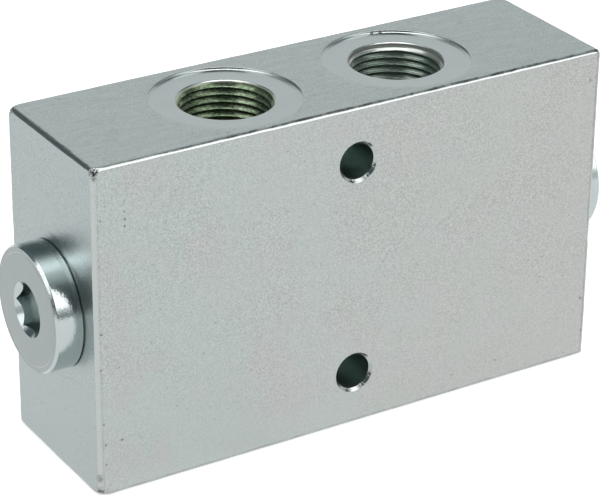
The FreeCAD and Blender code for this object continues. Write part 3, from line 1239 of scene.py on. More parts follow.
@dataclass
class Block:
    """The milled block with worn edges, in millimetres.

    Attributes:
        length: Size along X.
        depth: Size along Y.
        height: Size along Z.
        ports: Its ports.
        usual_break: Width of an edge break where no edge is listed.
        usual_roundness: Exponent of its cross-section.
        narrowest_break: Least width of a break.
        widest_break: Greatest width of a break.
        break_noises: Share, size and seed of the noises that vary the breaks.
        edge_reach: Distance from a listed edge within which its own break is reached.
        edge_ease: Distance over which it is reached.
        edge_zone: Distance from a face within which the points lie close together.
        coarse: Distance between the points elsewhere.
        break_rows: Rows of points over the widest break.
        break_crowding: Exponent that crowds these rows towards the face.
        near_rows: Rows between the break and the end of the zone.
        edges: The listed edges.
        hole_radius: Radius of the mounting holes.
        hole_chamfer: Width of their chamfers.
        hole_from_edge: Distance of their axes from the top and the underside.
        dent_circle: Radius of the circle that the dents in their mouths lie on.
        dent_depth: Depth of the dents' middles.
        dents: Angle in degrees, radius and darkness of each dent.
        pilot_radius: Radius of the main bore in its middle.
        cavity_radius: Radius of its two ends.
        shoulder: Distance of the step between them from the block's middle.
        plug_thread_start: Distance at which the plug's thread begins.
        plug_thread_lead: Width of that thread's chamfer.
        plug_spotface_radius: Radius of the spotface under the plug.
        plug_spotface_depth: Depth of its floor.
        plug_spotface_rim: Depth at which its sloping wall begins.
        plug_spotface_slope: Width of that wall.
        bore_segments: Steps round the main bore.
        hole_segments: Steps round a mounting hole.
        nicks: Middle, radius and depth of each nick.
        nick_noise: Share, size and seed of the noise that makes the nicks uneven.
        nick_fall: Exponent of their slope from the middle to the rim.
        overshoot: How far the bores stand out of the block before they are cut.
    """

    length: float
    depth: float
    height: float
    ports: list[Port]
    usual_break: float = 0.46
    usual_roundness: float = 1.28
    narrowest_break: float = 0.1
    widest_break: float = 0.95
    break_noises: tuple[tuple[float, float, int], ...] = ((0.10, 5.0, 3), (0.15, 1.2, 4))
    edge_reach: float = 2.5
    edge_ease: float = 1.5
    edge_zone: float = 3.0
    coarse: float = 1.6
    break_rows: int = 13
    break_crowding: float = 0.8
    near_rows: int = 9
    edges: tuple[EdgeBreak, ...] = (
        EdgeBreak((-1, 0, 1), 0.72, 1.35),
        EdgeBreak((0, -1, 1), 0.56, 1.75),
        EdgeBreak((0, 1, 1), 0.46, 1.6),
        EdgeBreak((-1, -1, 0), 0.66, 1.5),
        EdgeBreak((1, -1, 0), 0.62, 1.6),
        EdgeBreak((-1, 1, 0), 0.62, 1.5),
        EdgeBreak((1, 1, 0), 0.62, 1.5),
    )
    hole_radius: float = 3.25
    hole_chamfer: float = 0.5
    hole_from_edge: float = 10.0
    dent_circle: float = 3.5
    dent_depth: float = 0.2
    dents: tuple[tuple[float, float, float], ...] = (
        (-22, 0.5, 0.8),
        (-57, 0.42, 0.8),
        (-108, 0.7, 0.8),
        (48, 0.6, 0.8),
        (140, 0.5, 0.8),
    )
    pilot_radius: float = 6.75
    cavity_radius: float = 7.475
    shoulder: float = 21.5
    plug_thread_start: float = 38.8
    plug_thread_lead: float = 0.35
    plug_spotface_radius: float = 13.0
    plug_spotface_depth: float = 0.1
    plug_spotface_rim: float = 0.02
    plug_spotface_slope: float = 0.6
    bore_segments: int = 160
    hole_segments: int = 112
    nicks: tuple[tuple[Point, float, float], ...] = (
        ((-50.0, -15.0, 60.0), 1.3, 0.32),
        ((-49.2, -15.0, 58.6), 0.7, 0.12),
        ((-50.0, -15.0, 0.0), 2.0, 0.5),
        ((-50.0, 15.0, 60.0), 1.5, 0.35),
        ((50.0, -15.0, 60.0), 0.9, 0.2),
        ((50.0, 15.0, 0.0), 1.0, 0.25),
        ((-49.6, -15.0, 10.5), 0.8, 0.1),
        ((49.8, -15.0, 24.0), 0.8, 0.12),
    )
    nick_noise: tuple[float, float, int] = (0.5, 0.35, 9)
    nick_fall: float = 1.5
    overshoot: float = 1.0

    @property
    def hole_heights(self) -> tuple[float, float]:
        """Heights of the mounting holes' axes."""
        return self.hole_from_edge, self.height - self.hole_from_edge

    def samples(self, half: float) -> np.ndarray:
        """Places along one axis, close together at the edges and further apart between them.

        Args:
            half: Half the block's size along the axis.

        Returns:
            The places.
        """
        zone = half - self.edge_zone
        share = np.linspace(0, 1, self.break_rows) ** self.break_crowding
        band = half - self.widest_break * (1 - share)
        near = np.linspace(zone, half - self.widest_break, self.near_rows)[:-1]
        count = int(round(2 * zone / self.coarse))
        middle = np.linspace(-zone, zone, count + 1)[1:-1]
        outer = np.concatenate([near, band])
        return np.concatenate([-outer[::-1], middle, outer])

    def rounded(self, points: np.ndarray) -> np.ndarray:
        """Break the edges of a sharp box.

        A point is pulled to the box made smaller by the local edge break, and then goes out from it by
        that break, measured with a norm between the diamond's and the ball's, so that an edge becomes a
        chamfer that eases into both faces. Near a listed edge the break and the norm's exponent grow to
        that edge's own, and slow noise varies the break.

        Args:
            points: Points on the sharp box.

        Returns:
            Points on the worn block.
        """
        half = np.array([self.length, self.depth, self.height]) / 2
        size = np.full(points.shape[:-1], self.usual_break)
        roundness = np.full(points.shape[:-1], self.usual_roundness)
        for edge in self.edges:
            side = np.array(edge.side)
            near = np.clip((points * side - (half - self.edge_reach)) / self.edge_ease, 0, 1)
            weight = np.prod(np.where(side == 0, 1.0, near), axis=-1)
            size = np.maximum(size, self.usual_break + weight * (edge.size - self.usual_break))
            grown = self.usual_roundness + weight * (edge.roundness - self.usual_roundness)
            roundness = np.maximum(roundness, grown)
        waves = [share * smooth_noise(points, wave, seed) for share, wave, seed in self.break_noises]
        size = size * sum(waves, start=1)
        size = np.clip(size, self.narrowest_break, self.widest_break)[..., None]
        inner = np.clip(points, -(half - size), half - size)
        out = points - inner
        power = roundness[..., None]
        norm = np.sum(np.abs(out) ** power, axis=-1, keepdims=True) ** (1 / power)
        return inner + size * out / norm

    def dented(self, points: np.ndarray) -> np.ndarray:
        """Push the nicks in: a point moves towards the block's middle by the nick's depth, eased to
        nothing at its radius and made uneven by noise.

        Args:
            points: Points on the block, with Z from the block's middle.

        Returns:
            The moved points.
        """
        half = np.array([self.length, self.depth, self.height]) / 2
        inner = half - self.edge_zone
        outward = points - np.clip(points, -inner, inner)
        outward = outward / np.maximum(np.linalg.norm(outward, axis=-1, keepdims=True), 1e-9)
        lift = np.array([0, 0, self.height / 2])
        share, wave, seed = self.nick_noise
        for centre, radius, depth in self.nicks:
            reach = np.linalg.norm(points + lift - np.array(centre), axis=-1) / radius
            fall = np.clip(1 - reach**2, 0, 1) ** self.nick_fall
            rough = 1 + share * smooth_noise(points, wave, seed)
            points = points - outward * (depth * fall * rough)[..., None]
        return points

    def blank(self) -> bpy.types.Object:
        """The block before it is bored: six grids of points on a box, rounded and dented.

        Returns:
            The solid block.
        """
        half = (self.length / 2, self.depth / 2, self.height / 2)
        along = [self.samples(value) for value in half]
        points, faces, used = [], [], 0
        for flat in range(3):
            first, second = [axis for axis in range(3) if axis != flat]
            u, v = np.meshgrid(along[first], along[second], indexing="ij")
            for sign in (-1, 1):
                sheet = np.zeros(u.shape + (3,))
                sheet[..., first], sheet[..., second], sheet[..., flat] = u, v, sign * half[flat]
                points.append(sheet.reshape(-1, 3))
                faces.append(grid_faces(*u.shape, False, False) + used)
                used += u.size
        shaped = self.dented(self.rounded(np.concatenate(points)))
        shaped[:, 2] += self.height / 2
        return mesh_object("block_blank", shaped, np.concatenate(faces))

    def bore(self) -> bpy.types.Object:
        """The hollow of the main bore from end to end.

        Returns:
            A closed turned shape.
        """
        end = self.length / 2
        seat = end - self.plug_spotface_depth
        thread = self.ports[0].thread
        right = [
            (self.shoulder, self.pilot_radius),
            (self.shoulder, self.cavity_radius),
            (self.plug_thread_start, self.cavity_radius),
            (self.plug_thread_start, thread.major),
            (seat - self.plug_thread_lead, thread.major),
            (seat, thread.major + self.plug_thread_lead),
            (seat, self.plug_spotface_radius - self.plug_spotface_slope),
            (end - self.plug_spotface_rim, self.plug_spotface_radius),
            (end + self.overshoot, self.plug_spotface_radius + self.overshoot / 2),
            (end + self.overshoot, 0.0),
        ]
        left = [(-distance, radius) for distance, radius in reversed(right)]
        axis = Axis((0, 0, self.height / 2), (1, 0, 0), (0, 1, 0))
        return turned("main_bore", left + right, axis, self.bore_segments)

    def screw_hole(self, z: float) -> bpy.types.Object:
        """The hollow of one mounting hole.

        Args:
            z: Its height.

        Returns:
            A closed turned shape.
        """
        face = self.depth / 2
        mouth = self.hole_radius + self.hole_chamfer
        half = [
            (face - self.hole_chamfer, self.hole_radius),
            (face, mouth),
            (face + self.overshoot, mouth + self.overshoot),
            (face + self.overshoot, 0.0),
        ]
        profile = [(-distance, radius) for distance, radius in reversed(half)] + half
        axis = Axis((0, 0, z), (0, 1, 0), (1, 0, 0))
        return turned("screw_hole", profile, axis, self.hole_segments)

    def mouth_dents(self) -> tuple[Stain, ...]:
        """Dents where the drill chattered in the mounting holes' mouths.

        Returns:
            The dents of both holes.
        """
        dents = []
        for hole_z in self.hole_heights:
            for degrees, size, strength in self.dents:
                turn = math.radians(degrees)
                x, z = self.dent_circle * math.cos(turn), self.dent_circle * math.sin(turn)
                dents.append(Stain((x, -self.depth / 2 + self.dent_depth, hole_z + z), size, strength))
        return tuple(dents)

    def slots(self, mesh: bpy.types.Mesh) -> np.ndarray:
        """Material slot of each face, worked out from where its middle lies.

        Args:
            mesh: The bored block's mesh.

        Returns:
            Slot numbers.
        """
        face_skin, skin, rim_margin, port_margin, bore_margin = 0.004, 0.01, 0.11, 0.6, 0.9
        x, y, z = face_middles(mesh)
        slot = np.full(len(x), BlockFinish.PLATED.value)
        for port in self.ports:
            depth = self.height - z if port.upward else z
            away = np.hypot(x - port.x, y)
            lip_end = port.spotface_depth + port.lip_depth + skin
            spotface = (away < port.spotface_radius + rim_margin) & (depth > face_skin) & (depth < lip_end)
            wall = (away < port.thread.major + port_margin) & (depth > lip_end) & (depth < self.height / 2)
            slot[spotface] = BlockFinish.SPOTFACE.value
            slot[wall] = BlockFinish.PORT_WALL.value
        away = np.hypot(y, z - self.height / 2)
        bore = (away < self.cavity_radius + bore_margin) & (np.abs(x) < self.length / 2 - 2 * skin)
        slot[bore] = BlockFinish.PORT_WALL.value
        for hole_z in self.hole_heights:
            away = np.hypot(x, z - hole_z)
            hole = away < self.hole_radius + self.hole_chamfer + skin
            hole &= np.abs(y) < self.depth / 2 - skin
            slot[hole] = BlockFinish.SCREW_HOLE.value
            slot[hole & (np.abs(y) > self.depth / 2 - self.hole_chamfer)] = BlockFinish.HOLE_MOUTH.value
        return slot

    def build(self) -> bpy.types.Object:
        """Bore the blank and dress it.

        Returns:
            The finished block.
        """
        blank = self.blank()
        hollows = [port.hollow(self.height) for port in self.ports]
        hollows.append(self.bore())
        hollows += [self.screw_hole(z) for z in self.hole_heights]
        for hollow in hollows:
            cut = blank.modifiers.new(hollow.name, "BOOLEAN")
            cut.operation, cut.solver, cut.object = "DIFFERENCE", "EXACT", hollow
        evaluated = blank.evaluated_get(bpy.context.evaluated_depsgraph_get())
        mesh = bpy.data.meshes.new_from_object(evaluated)
        for scrap in [blank, *hollows]:
            bpy.data.objects.remove(scrap)
        mesh.materials.clear()
        finishes = (
            PlatedFinish(),
            TurnedFinish(
                "zinc_plated_spotface",
                (0.54, 0.565, 0.56),
                0.22,
                axis=2,
                # The spotface floor takes the narrow faces' lighter colour: the same painted light.
                flat_colour=(0.535, 0.607, 0.606),
                ring_light=0.0,
                cloud=0.05,
                stains=(Stain((21.5, 12.0, 59.72), 0.42, 1.0), Stain((20.1, 12.4, 59.72), 0.36, 0.9)),
            ),
            TurnedFinish("port_wall", (0.46, 0.53, 0.45), 0.3, axis=2),
            TurnedFinish("screw_hole_wall", (0.42, 0.53, 0.49), 0.35, axis=1),
            TurnedFinish(
                "screw_hole_mouth", (0.55, 0.60, 0.59), 0.25, axis=1, cloud=0.3, stains=self.mouth_dents()
            ),
        )
        for finish in finishes:
            mesh.materials.append(finish.make())
        mesh.polygons.foreach_set("material_index", self.slots(mesh).astype(np.int32))
        soften(mesh, BLOCK_SHARP)
        block = placed("plated_block", mesh)
        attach(block, "valve_block")
        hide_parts("valve_body")
        return block


@dataclass
class EndPlug:
    """Screw plug with a round head and an inside hexagon, in millimetres from the block's end outwards.

    Attributes:
        side: End of the block.
        axis_height: Height of the main bore.
        seat: Distance of the head's seat from the block's middle.
        finishes: Materials of the turned outside and of the socket, whose dark colour is painted shade with
            a greenish tint.
        thread: Form of its thread.
        head_radius: Radius of the head.
        head_thickness: Thickness of the head.
        head_chamfer: Width of the chamfer round its face.
        shank_length: Length from the head's seat to the plug's inner end.
        shank_chamfer: Width of the chamfer at that end.
        undercut_radius: Radius of the groove behind the head.
        seal_radius: Outer radius of the seal's groove.
        seal_thickness: Height of the undercut on each side of the seat.
        gap_width: Width of the slit under the head.
        gap_depth: Depth of that slit.
        gap_chamfer: Width of the chamfer on the head's side of it.
        pocket_radius: Radius of the spring's pocket in the inner end.
        pocket_depth: Depth of that pocket.
        thread_play: How far the thread stands off the block's.
        hexagon_flat: Distance of the socket's flats from the axis.
        hexagon_depth: Depth of the flats.
        drill_point: Radii of the rows down the socket's drill point.
        drill_rise: Depth of that point for each millimetre of radius.
        mouth_radius: Radius of the socket's countersink.
        countersink_run: Depth of the countersink for each millimetre of radius.
        grooves: Radius and depth of each faint turned groove in the face.
        groove_width: Width of a groove.
        thread_rows: Rows of points along the thread.
        face_rows: Rows across the face.
        cone_rows: Rows down the countersink.
        wall_rows: Rows down the flats.
        segments: Steps round the plug.
    """

    side: Side
    axis_height: float
    seat: float
    finishes: list[bpy.types.Material]
    thread: ThreadForm = field(default_factory=ThreadForm)
    head_radius: float = 11.0
    head_thickness: float = 5.0
    head_chamfer: float = 0.38
    shank_length: float = 9.8
    shank_chamfer: float = 0.8
    undercut_radius: float = 7.35
    seal_radius: float = 9.52
    seal_thickness: float = 1.4
    gap_width: float = 0.16
    gap_depth: float = 0.6
    gap_chamfer: float = 0.08
    pocket_radius: float = 3.8
    pocket_depth: float = 4.4
    thread_play: float = 0.06
    hexagon_flat: float = 4.0
    hexagon_depth: float = 6.0
    drill_point: tuple[float, ...] = (2.6, 1.2, 0.0)
    drill_rise: float = 0.6
    mouth_radius: float = 4.85
    countersink_run: float = 1 / math.tan(math.radians(40.0))
    grooves: tuple[tuple[float, float], ...] = ((10.2, 0.04), (9.75, 0.06), (9.1, 0.02))
    groove_width: float = 0.09
    thread_rows: int = 110
    face_rows: int = 90
    cone_rows: int = 7
    wall_rows: int = 7
    segments: int = 192

    def hexagon(self, angle: np.ndarray) -> np.ndarray:
        """Distance from the axis to the hexagon's wall: the flat's distance over the cosine of the angle
        from the middle of the nearest flat.

        Args:
            angle: Angle from a corner.

        Returns:
            The distance at each angle.
        """
        sixth = math.pi / 3
        return self.hexagon_flat / np.cos((angle % sixth) - sixth / 2)

    def socket(self, angle: np.ndarray) -> tuple[np.ndarray, np.ndarray]:
        """Rows down the socket: the countersink's cone until it meets the hexagon's wall, that wall, and
        the drill point.

        Args:
            angle: Angle of each column.

        Returns:
            Distances from the head's face, and radii.
        """
        wall = self.hexagon(angle)
        meet = (self.mouth_radius - wall) * self.countersink_run
        cone_share = np.linspace(0, 1, self.cone_rows)[:, None]
        cone_depth = cone_share * meet
        cone_radius = self.mouth_radius + cone_share * (wall - self.mouth_radius)
        wall_share = np.linspace(0, 1, self.wall_rows + 1)[1:, None]
        wall_depth = meet + wall_share * (self.hexagon_depth - meet)
        wall_radius = np.repeat(wall[None], self.wall_rows, axis=0)
        floor_radius = np.array([self.hexagon_flat, *self.drill_point])[:, None] * np.ones_like(angle)
        drop = (self.hexagon_flat - floor_radius) * self.drill_rise
        depth = np.vstack([cone_depth, wall_depth, self.hexagon_depth + drop])
        return -depth, np.vstack([cone_radius, wall_radius, floor_radius])

    def face(self, angle: np.ndarray) -> tuple[np.ndarray, np.ndarray]:
        """Rows across the head's face from its rim to the socket.

        Each faint turned groove sinks the face by its depth times a bell curve of the distance from the
        groove's radius.

        Args:
            angle: Angle of each column.

        Returns:
            Distances from the head's face, and radii.
        """
        rim, mouth = self.head_radius - self.head_chamfer, self.mouth_radius + 0.1
        radius = np.linspace(rim, mouth, self.face_rows)
        groove = np.zeros_like(radius)
        for middle, depth in self.grooves:
            groove -= depth * np.exp(-(((radius - middle) / self.groove_width) ** 2))
        ones = np.ones_like(angle)
        return groove[:, None] * ones, radius[:, None] * ones

    def shell(self, angle: np.ndarray) -> tuple[np.ndarray, np.ndarray]:
        """Rows from the pocket's floor round the threaded shank and the head to the face's rim.

        Args:
            angle: Angle of each column.

        Returns:
            Distances from the head's face, and radii.
        """
        end = -self.head_thickness - self.shank_length
        seat = -self.head_thickness
        thread_top = seat - self.seal_thickness
        shank = np.linspace(end + self.shank_chamfer * 0.2, thread_top, self.thread_rows)
        before = [
            (end + self.pocket_depth, 0.0),
            (end + self.pocket_depth, self.pocket_radius),
            (end, self.pocket_radius),
            (end, self.thread.minor - 0.1),
        ]
        after = [
            (thread_top, self.undercut_radius),
            (seat + self.seal_thickness, self.undercut_radius),
            (seat + self.seal_thickness, self.seal_radius),
            (seat, self.seal_radius),
            (seat, self.head_radius - self.gap_depth),
            (seat + self.gap_width, self.head_radius - self.gap_depth),
            (seat + self.gap_width, self.head_radius - self.gap_chamfer),
            (seat + self.gap_width + self.gap_chamfer, self.head_radius),
            (-self.head_chamfer - 0.06, self.head_radius),
            (-self.head_chamfer + 0.03, self.head_radius - 0.05),
            (-0.05, self.head_radius - self.head_chamfer + 0.03),
        ]
        distance, theta = np.meshgrid(shank, angle, indexing="ij")
        cone = self.thread.major - self.shank_chamfer + (distance - end)
        threaded = np.minimum(self.thread.radius(distance, theta), cone) - self.thread_play
        ones = np.ones_like(angle)
        first, last = np.array(before), np.array(after)
        distances = np.vstack([first[:, :1] * ones, distance, last[:, :1] * ones])
        radii = np.vstack([first[:, 1:] * ones, threaded, last[:, 1:] * ones])
        return distances, radii

    def build(self) -> bpy.types.Object:
        """Join the plug's rows into one closed surface.

        Returns:
            The plug.
        """
        angle = turn_angles(self.segments)
        sections = (self.shell(angle), self.face(angle), self.socket(angle))
        distance, radius = (np.vstack(rows) for rows in zip(*sections))
        theta = np.repeat(angle[None], len(distance), axis=0)
        sign = self.side.value
        top = self.seat + self.head_thickness
        axis = Axis((sign * top, 0, self.axis_height), (sign, 0, 0), (0, 1, 0))
        points = axis.place(distance, radius, theta)
        faces = grid_faces(len(distance), self.segments, False, True)
        plug = mesh_object("screw_plug_" + self.side.word, points, faces, self.finishes)
        x, y, z = face_middles(plug.data)
        away = np.hypot(y, z - self.axis_height)
        cone = self.mouth_radius - (top - np.abs(x)) / self.countersink_run
        skin, below_seat, cone_skin = 0.02, 2.5, 0.03
        # Faces deep in the socket take its dark colour: painted shade in the recess.
        inside = (away < self.mouth_radius - skin) & (np.abs(x) > self.seat - below_seat)
        inside &= away <= cone - cone_skin
        socket = np.where(inside, PlugFinish.SOCKET.value, PlugFinish.TURNED.value)
        plug.data.polygons.foreach_set("material_index", socket.astype(np.int32))
        soften(plug.data, PLUG_SHARP)
        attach(plug, "valve_block")
        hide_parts("end_plug_" + self.side.word)
        return plug


@dataclass
class CheckSpring:
    """Compression spring behind a poppet, in millimetres.

    Attributes:
        side: End of the block.
        axis_height: Height of the main bore.
        start: Distance of its inner end from the block's middle.
        end: Distance of its outer end.
        finish: Finish of the wire.
        wire_radius: Radius of the wire.
        coil_radius: Radius of the coil, to the wire's middle.
        active_turns: Number of open turns.
        end_turns: Number of closed turns at each end.
        wire_steps: Steps round the wire.
        turn_steps: Steps along each turn.
    """

    side: Side
    axis_height: float
    start: float
    end: float
    finish: bpy.types.Material
    wire_radius: float = 0.4
    coil_radius: float = 3.0
    active_turns: float = 4.5
    end_turns: float = 1.0
    wire_steps: int = 14
    turn_steps: int = 48

    def build(self) -> bpy.types.Object:
        """Sweep the wire along its coil.

        The coil's distance grows by one wire for each end turn and evenly over the turns between. A
        point of the wire is the coil's point plus the wire's radius times the cosine of its angle
        outwards and the sine along the axis, cut flat at both ends as if ground.

        Returns:
            The spring.
        """
        turns = self.active_turns + 2 * self.end_turns
        turn = np.linspace(0, turns, int(turns * self.turn_steps) + 1)
        closed = 2 * self.wire_radius
        active = self.end - self.start - 2 * closed * self.end_turns
        marks = [0, self.end_turns, self.end_turns + self.active_turns, turns]
        places = [self.start, self.start + closed, self.start + closed + active, self.end]
        run = np.interp(turn, marks, places)
        run, wire = np.meshgrid(run, turn_angles(self.wire_steps), indexing="ij")
        theta = np.repeat((turn * FULL_TURN)[:, None], self.wire_steps, axis=1)
        distance = np.clip(run + self.wire_radius * np.sin(wire), self.start, self.end)
        radius = self.coil_radius + self.wire_radius * np.cos(wire)
        sign = self.side.value
        axis = Axis((0, 0, self.axis_height), (sign, 0, 0), (0, sign, 0))
        faces = grid_faces(len(turn), self.wire_steps, False, True)
        points = axis.place(distance, radius, theta)
        spring = mesh_object("wound_spring_" + self.side.word, points, faces, [self.finish])
        self.cap(spring)
        soften(spring.data, WIRE_SHARP)
        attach(spring, "valve_block")
        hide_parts("check_spring_" + self.side.word)
        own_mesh(spring)
        return spring

    def cap(self, spring: bpy.types.Object) -> None:
        """Close the wire's two open ends.

        Args:
            spring: The spring.
        """
        work = bmesh.new()
        work.from_mesh(spring.data)
        edges = [edge for edge in work.edges if edge.is_boundary]
        closed = bmesh.ops.holes_fill(work, edges=edges, sides=0)["faces"]
        bmesh.ops.recalc_face_normals(work, faces=work.faces)
        work.to_mesh(spring.data)
        work.free()
        if len(closed) != 2:
            log.warning("%s has %d caps", spring.name, len(closed))


@dataclass
class InnerParts:
    """The turned and moulded pieces inside the block, which keep their shapes from the frame.

    Attributes:
        ground: Finish of the piston, the poppets and the seats.
        cage: Finish of the cages.
        rubber: Finish of the seals.
        plastic: Finish of the backup rings.
    """

    ground: TurnedFinish = TurnedFinish("hardened_steel", (0.50, 0.50, 0.51), 0.22)
    cage: TurnedFinish = TurnedFinish("hardened_steel_cage", (0.44, 0.44, 0.45), 0.3)
    rubber: SoftFinish = SoftFinish("seal_rubber", (0.018, 0.018, 0.019), 0.5)
    plastic: SoftFinish = SoftFinish("backup_plastic", (0.74, 0.73, 0.68), 0.45)

    def dress(self) -> None:
        """Give each piece its finish."""
        finishes = {
            "pilot_piston": self.ground.make(),
            "guide_cage": self.cage.make(),
            "o_ring": self.rubber.make(),
            "backup_ring": self.plastic.make(),
        }
        finishes["seat_bush"] = finishes["check_poppet"] = finishes["pilot_piston"]
        finishes["plug_seal"] = finishes["o_ring"]
        for name, node in frame["nodes"].items():
            if node.hide_render:
                continue
            key = next(word for word in finishes if word in name)
            node.data.materials.clear()
            node.data.materials.append(finishes[key])
            log.info("dressed %s as %s", name, finishes[key].name)


@dataclass(frozen=True)
class Glow:
    """A bright or dark area of the studio as the metal sees it.

    Attributes:
        towards: Direction of its middle.
        inner: Angle from the middle at which it starts to fade, in degrees.
        outer: Angle at which it ends, in degrees.
        level: Brightness in its middle.
    """

    towards: Point
    inner: float
    outer: float
    level: float


@dataclass(frozen=True)
class Lamp:
    """A round soft box that points at the block.

    Attributes:
        name: Its name.
        at: Its place, in metres.
        size: Width, in metres.
        power: Power, in watts.
    """

    name: str
    at: Point
    size: float
    power: float


@dataclass
class Studio:
    """Floor, lights, surroundings and camera.

    Attributes:
        base_level: Brightness that metal sees where no other area is.
        diffuse_level: Brightness that matt surfaces get.
        dim_colour: Colour of the dark areas, which fades to white as they brighten.
        dim_end: Brightness at which it is white.
        floor_size: Width of the floor, in metres.
        floor_colour: Its colour.
        floor_clouds: Light of its faint clouds.
        floor_dark: Its colour as metal sees it.
        floor_lift: Light that it gives to the camera, and to metal.
        camera_at: Place of the camera, in millimetres.
        aim: Point that the lamps point at, in metres.
        yaw: Turn of the camera from the Y axis, in degrees.
        pitch: How far it looks down, in degrees.
        roll: How far it leans, in degrees.
        focal_pixels: Focal length, in widths of a pixel.
        picture_width: Width of the picture, in pixels.
        sensor: Width of the sensor, in millimetres.
        clip: Nearest and furthest distance that the camera sees, in metres.
        lamps: The lamps.
        glows: Areas of the studio as metal sees them, each over the ones before.
    """

    base_level: float = 0.72
    diffuse_level: float = 0.85
    dim_colour: Colour = (0.66, 1.0, 1.06)
    dim_end: float = 0.5
    floor_size: float = 6.0
    floor_colour: Colour = (0.9, 0.9, 0.9)
    floor_clouds: Pattern = Pattern(0.4, 2.0, (*USUAL_NOISE, 0.985, 1.0))
    floor_dark: Colour = (0.10, 0.10, 0.10)
    floor_lift: tuple[float, float] = (0.35, 0.86)
    camera_at: Point = (-225.3, -360.6, 237.6)
    aim: Point = (0.0, 0.0, 0.03)
    yaw: float = 31.76
    pitch: float = 26.27
    roll: float = 0.62
    focal_pixels: float = 2712.0
    picture_width: float = 600.0
    sensor: float = 36.0
    clip: tuple[float, float] = (0.01, 20.0)
    lamps: tuple[Lamp, ...] = (
        Lamp("key_light", (-0.35, -0.75, 1.3), 0.9, 9.0),
        Lamp("fill_light", (0.9, 0.3, 1.1), 0.9, 4.0),
    )
    glows: tuple[Glow, ...] = (
        Glow((-0.42, 0.76, 0.50), 17.0, 32.0, 0.13),
        Glow((-0.42, -0.80, 0.40), 20.0, 36.0, 0.08),
        Glow((-0.13, 0.70, 0.70), 6.0, 18.0, 0.2),
        Glow((0.50, 0.42, 0.76), 8.0, 20.0, 0.15),
        Glow((0.78, 0.00, 0.62), 14.0, 22.0, 0.2),
        Glow((-0.23, -0.38, 0.896), 13.0, 17.0, 0.10),
        Glow((-0.86, -0.12, 0.50), 14.0, 20.0, 1.6),
        Glow((-0.50, 0.12, 0.86), 12.0, 16.0, 2.5),
        Glow((-0.57, -0.22, 0.79), 9.0, 13.0, 2.3),
        Glow((0.38, -0.42, 0.82), 9.0, 13.0, 1.7),
        Glow((-0.05, -0.09, 0.995), 6.0, 9.0, 4.2),
        Glow((0.12, -0.13, 0.985), 6.0, 9.0, 4.2),
        Glow((0.27, -0.12, 0.955), 6.0, 9.0, 3.2),
        Glow((-0.16, 0.05, 0.985), 6.0, 9.0, 4.2),
        Glow((-0.32, 0.10, 0.94), 6.0, 9.0, 3.2),
        Glow((0.45, -0.66, 0.58), 19.0, 25.0, 2.1),
        Glow((0.39, -0.92, 0.0), 5.0, 10.0, 0.3),
    )

    def surroundings(self) -> None:
        """White for the camera, plain light for matt surfaces and a studio with soft boxes for metal.

        For metal, each area's share is eased from its inner to its outer angle, and mixes its level
        over what lies below it.
        """
        world = bpy.data.worlds.new("studio")
        bpy.context.scene.world = world
        world.use_nodes = True
        nodes = Nodes(world.node_tree)
        direction = nodes.add("ShaderNodeTexCoord", {}, "Generated")
        level: Feed = self.base_level
        for glow in self.glows:
            middle = tuple(Vector(glow.towards).normalized())
            nearness = nodes.vector("DOT_PRODUCT", direction, middle)
            fade = (math.cos(math.radians(angle)) for angle in (glow.outer, glow.inner))
            level = nodes.between(nodes.ramp(nearness, *fade), level, glow.level)
        to_metal = nodes.add("ShaderNodeLightPath", {}, "Is Glossy Ray")
        to_camera = to_metal.node.outputs["Is Camera Ray"]
        seen = nodes.between(to_camera, nodes.between(to_metal, self.diffuse_level, level), 1.0)
        bright = nodes.add("ShaderNodeMapRange", {"Value": seen, "From Max": self.dim_end})
        tint = nodes.mixed(bright, self.dim_colour, (1.0, 1.0, 1.0))
        background = nodes.add("ShaderNodeBackground", {"Strength": seen, "Color": tint})
        nodes.show("ShaderNodeOutputWorld", background)

    def floor(self) -> None:
        """A pale matt floor that stays white to the camera where no shadow falls."""
        half = self.floor_size / 2
        corners = [(-half, -half, 0), (half, -half, 0), (half, half, 0), (-half, half, 0)]
        graph = Graph("pale_floor")
        to_metal = graph.add("ShaderNodeLightPath", {}, "Is Glossy Ray")
        to_camera = to_metal.node.outputs["Is Camera Ray"]
        colour = graph.tinted(self.floor_colour, graph.pattern(self.floor_clouds))
        colour = graph.mixed(to_metal, colour, self.floor_dark)
        lifts = [graph.maths("MULTIPLY", *pair) for pair in zip((to_camera, to_metal), self.floor_lift)]
        graph.feed(graph.surface.inputs["Emission Color"], (1.0, 1.0, 1.0))
        graph.feed(graph.surface.inputs["Emission Strength"], graph.maths("ADD", *lifts))
        mesh = bpy.data.meshes.new("floor")
        mesh.from_pydata(corners, [], [(0, 1, 2, 3)])
        mesh.materials.append(graph.finish(colour, 0.9, 0.0))
        floor = placed("floor", mesh)

    def hang(self, lamp: Lamp) -> None:
        """Hang a soft box.

        Args:
            lamp: The soft box.
        """
        light = bpy.data.lights.new(lamp.name, "AREA")
        light.shape, light.size, light.energy = "DISK", lamp.size, lamp.power
        hung = placed(lamp.name, light)
        hung.location = lamp.at
        hung.rotation_euler = (Vector(self.aim) - Vector(lamp.at)).to_track_quat("-Z", "Y").to_euler()
        hung.visible_glossy = False

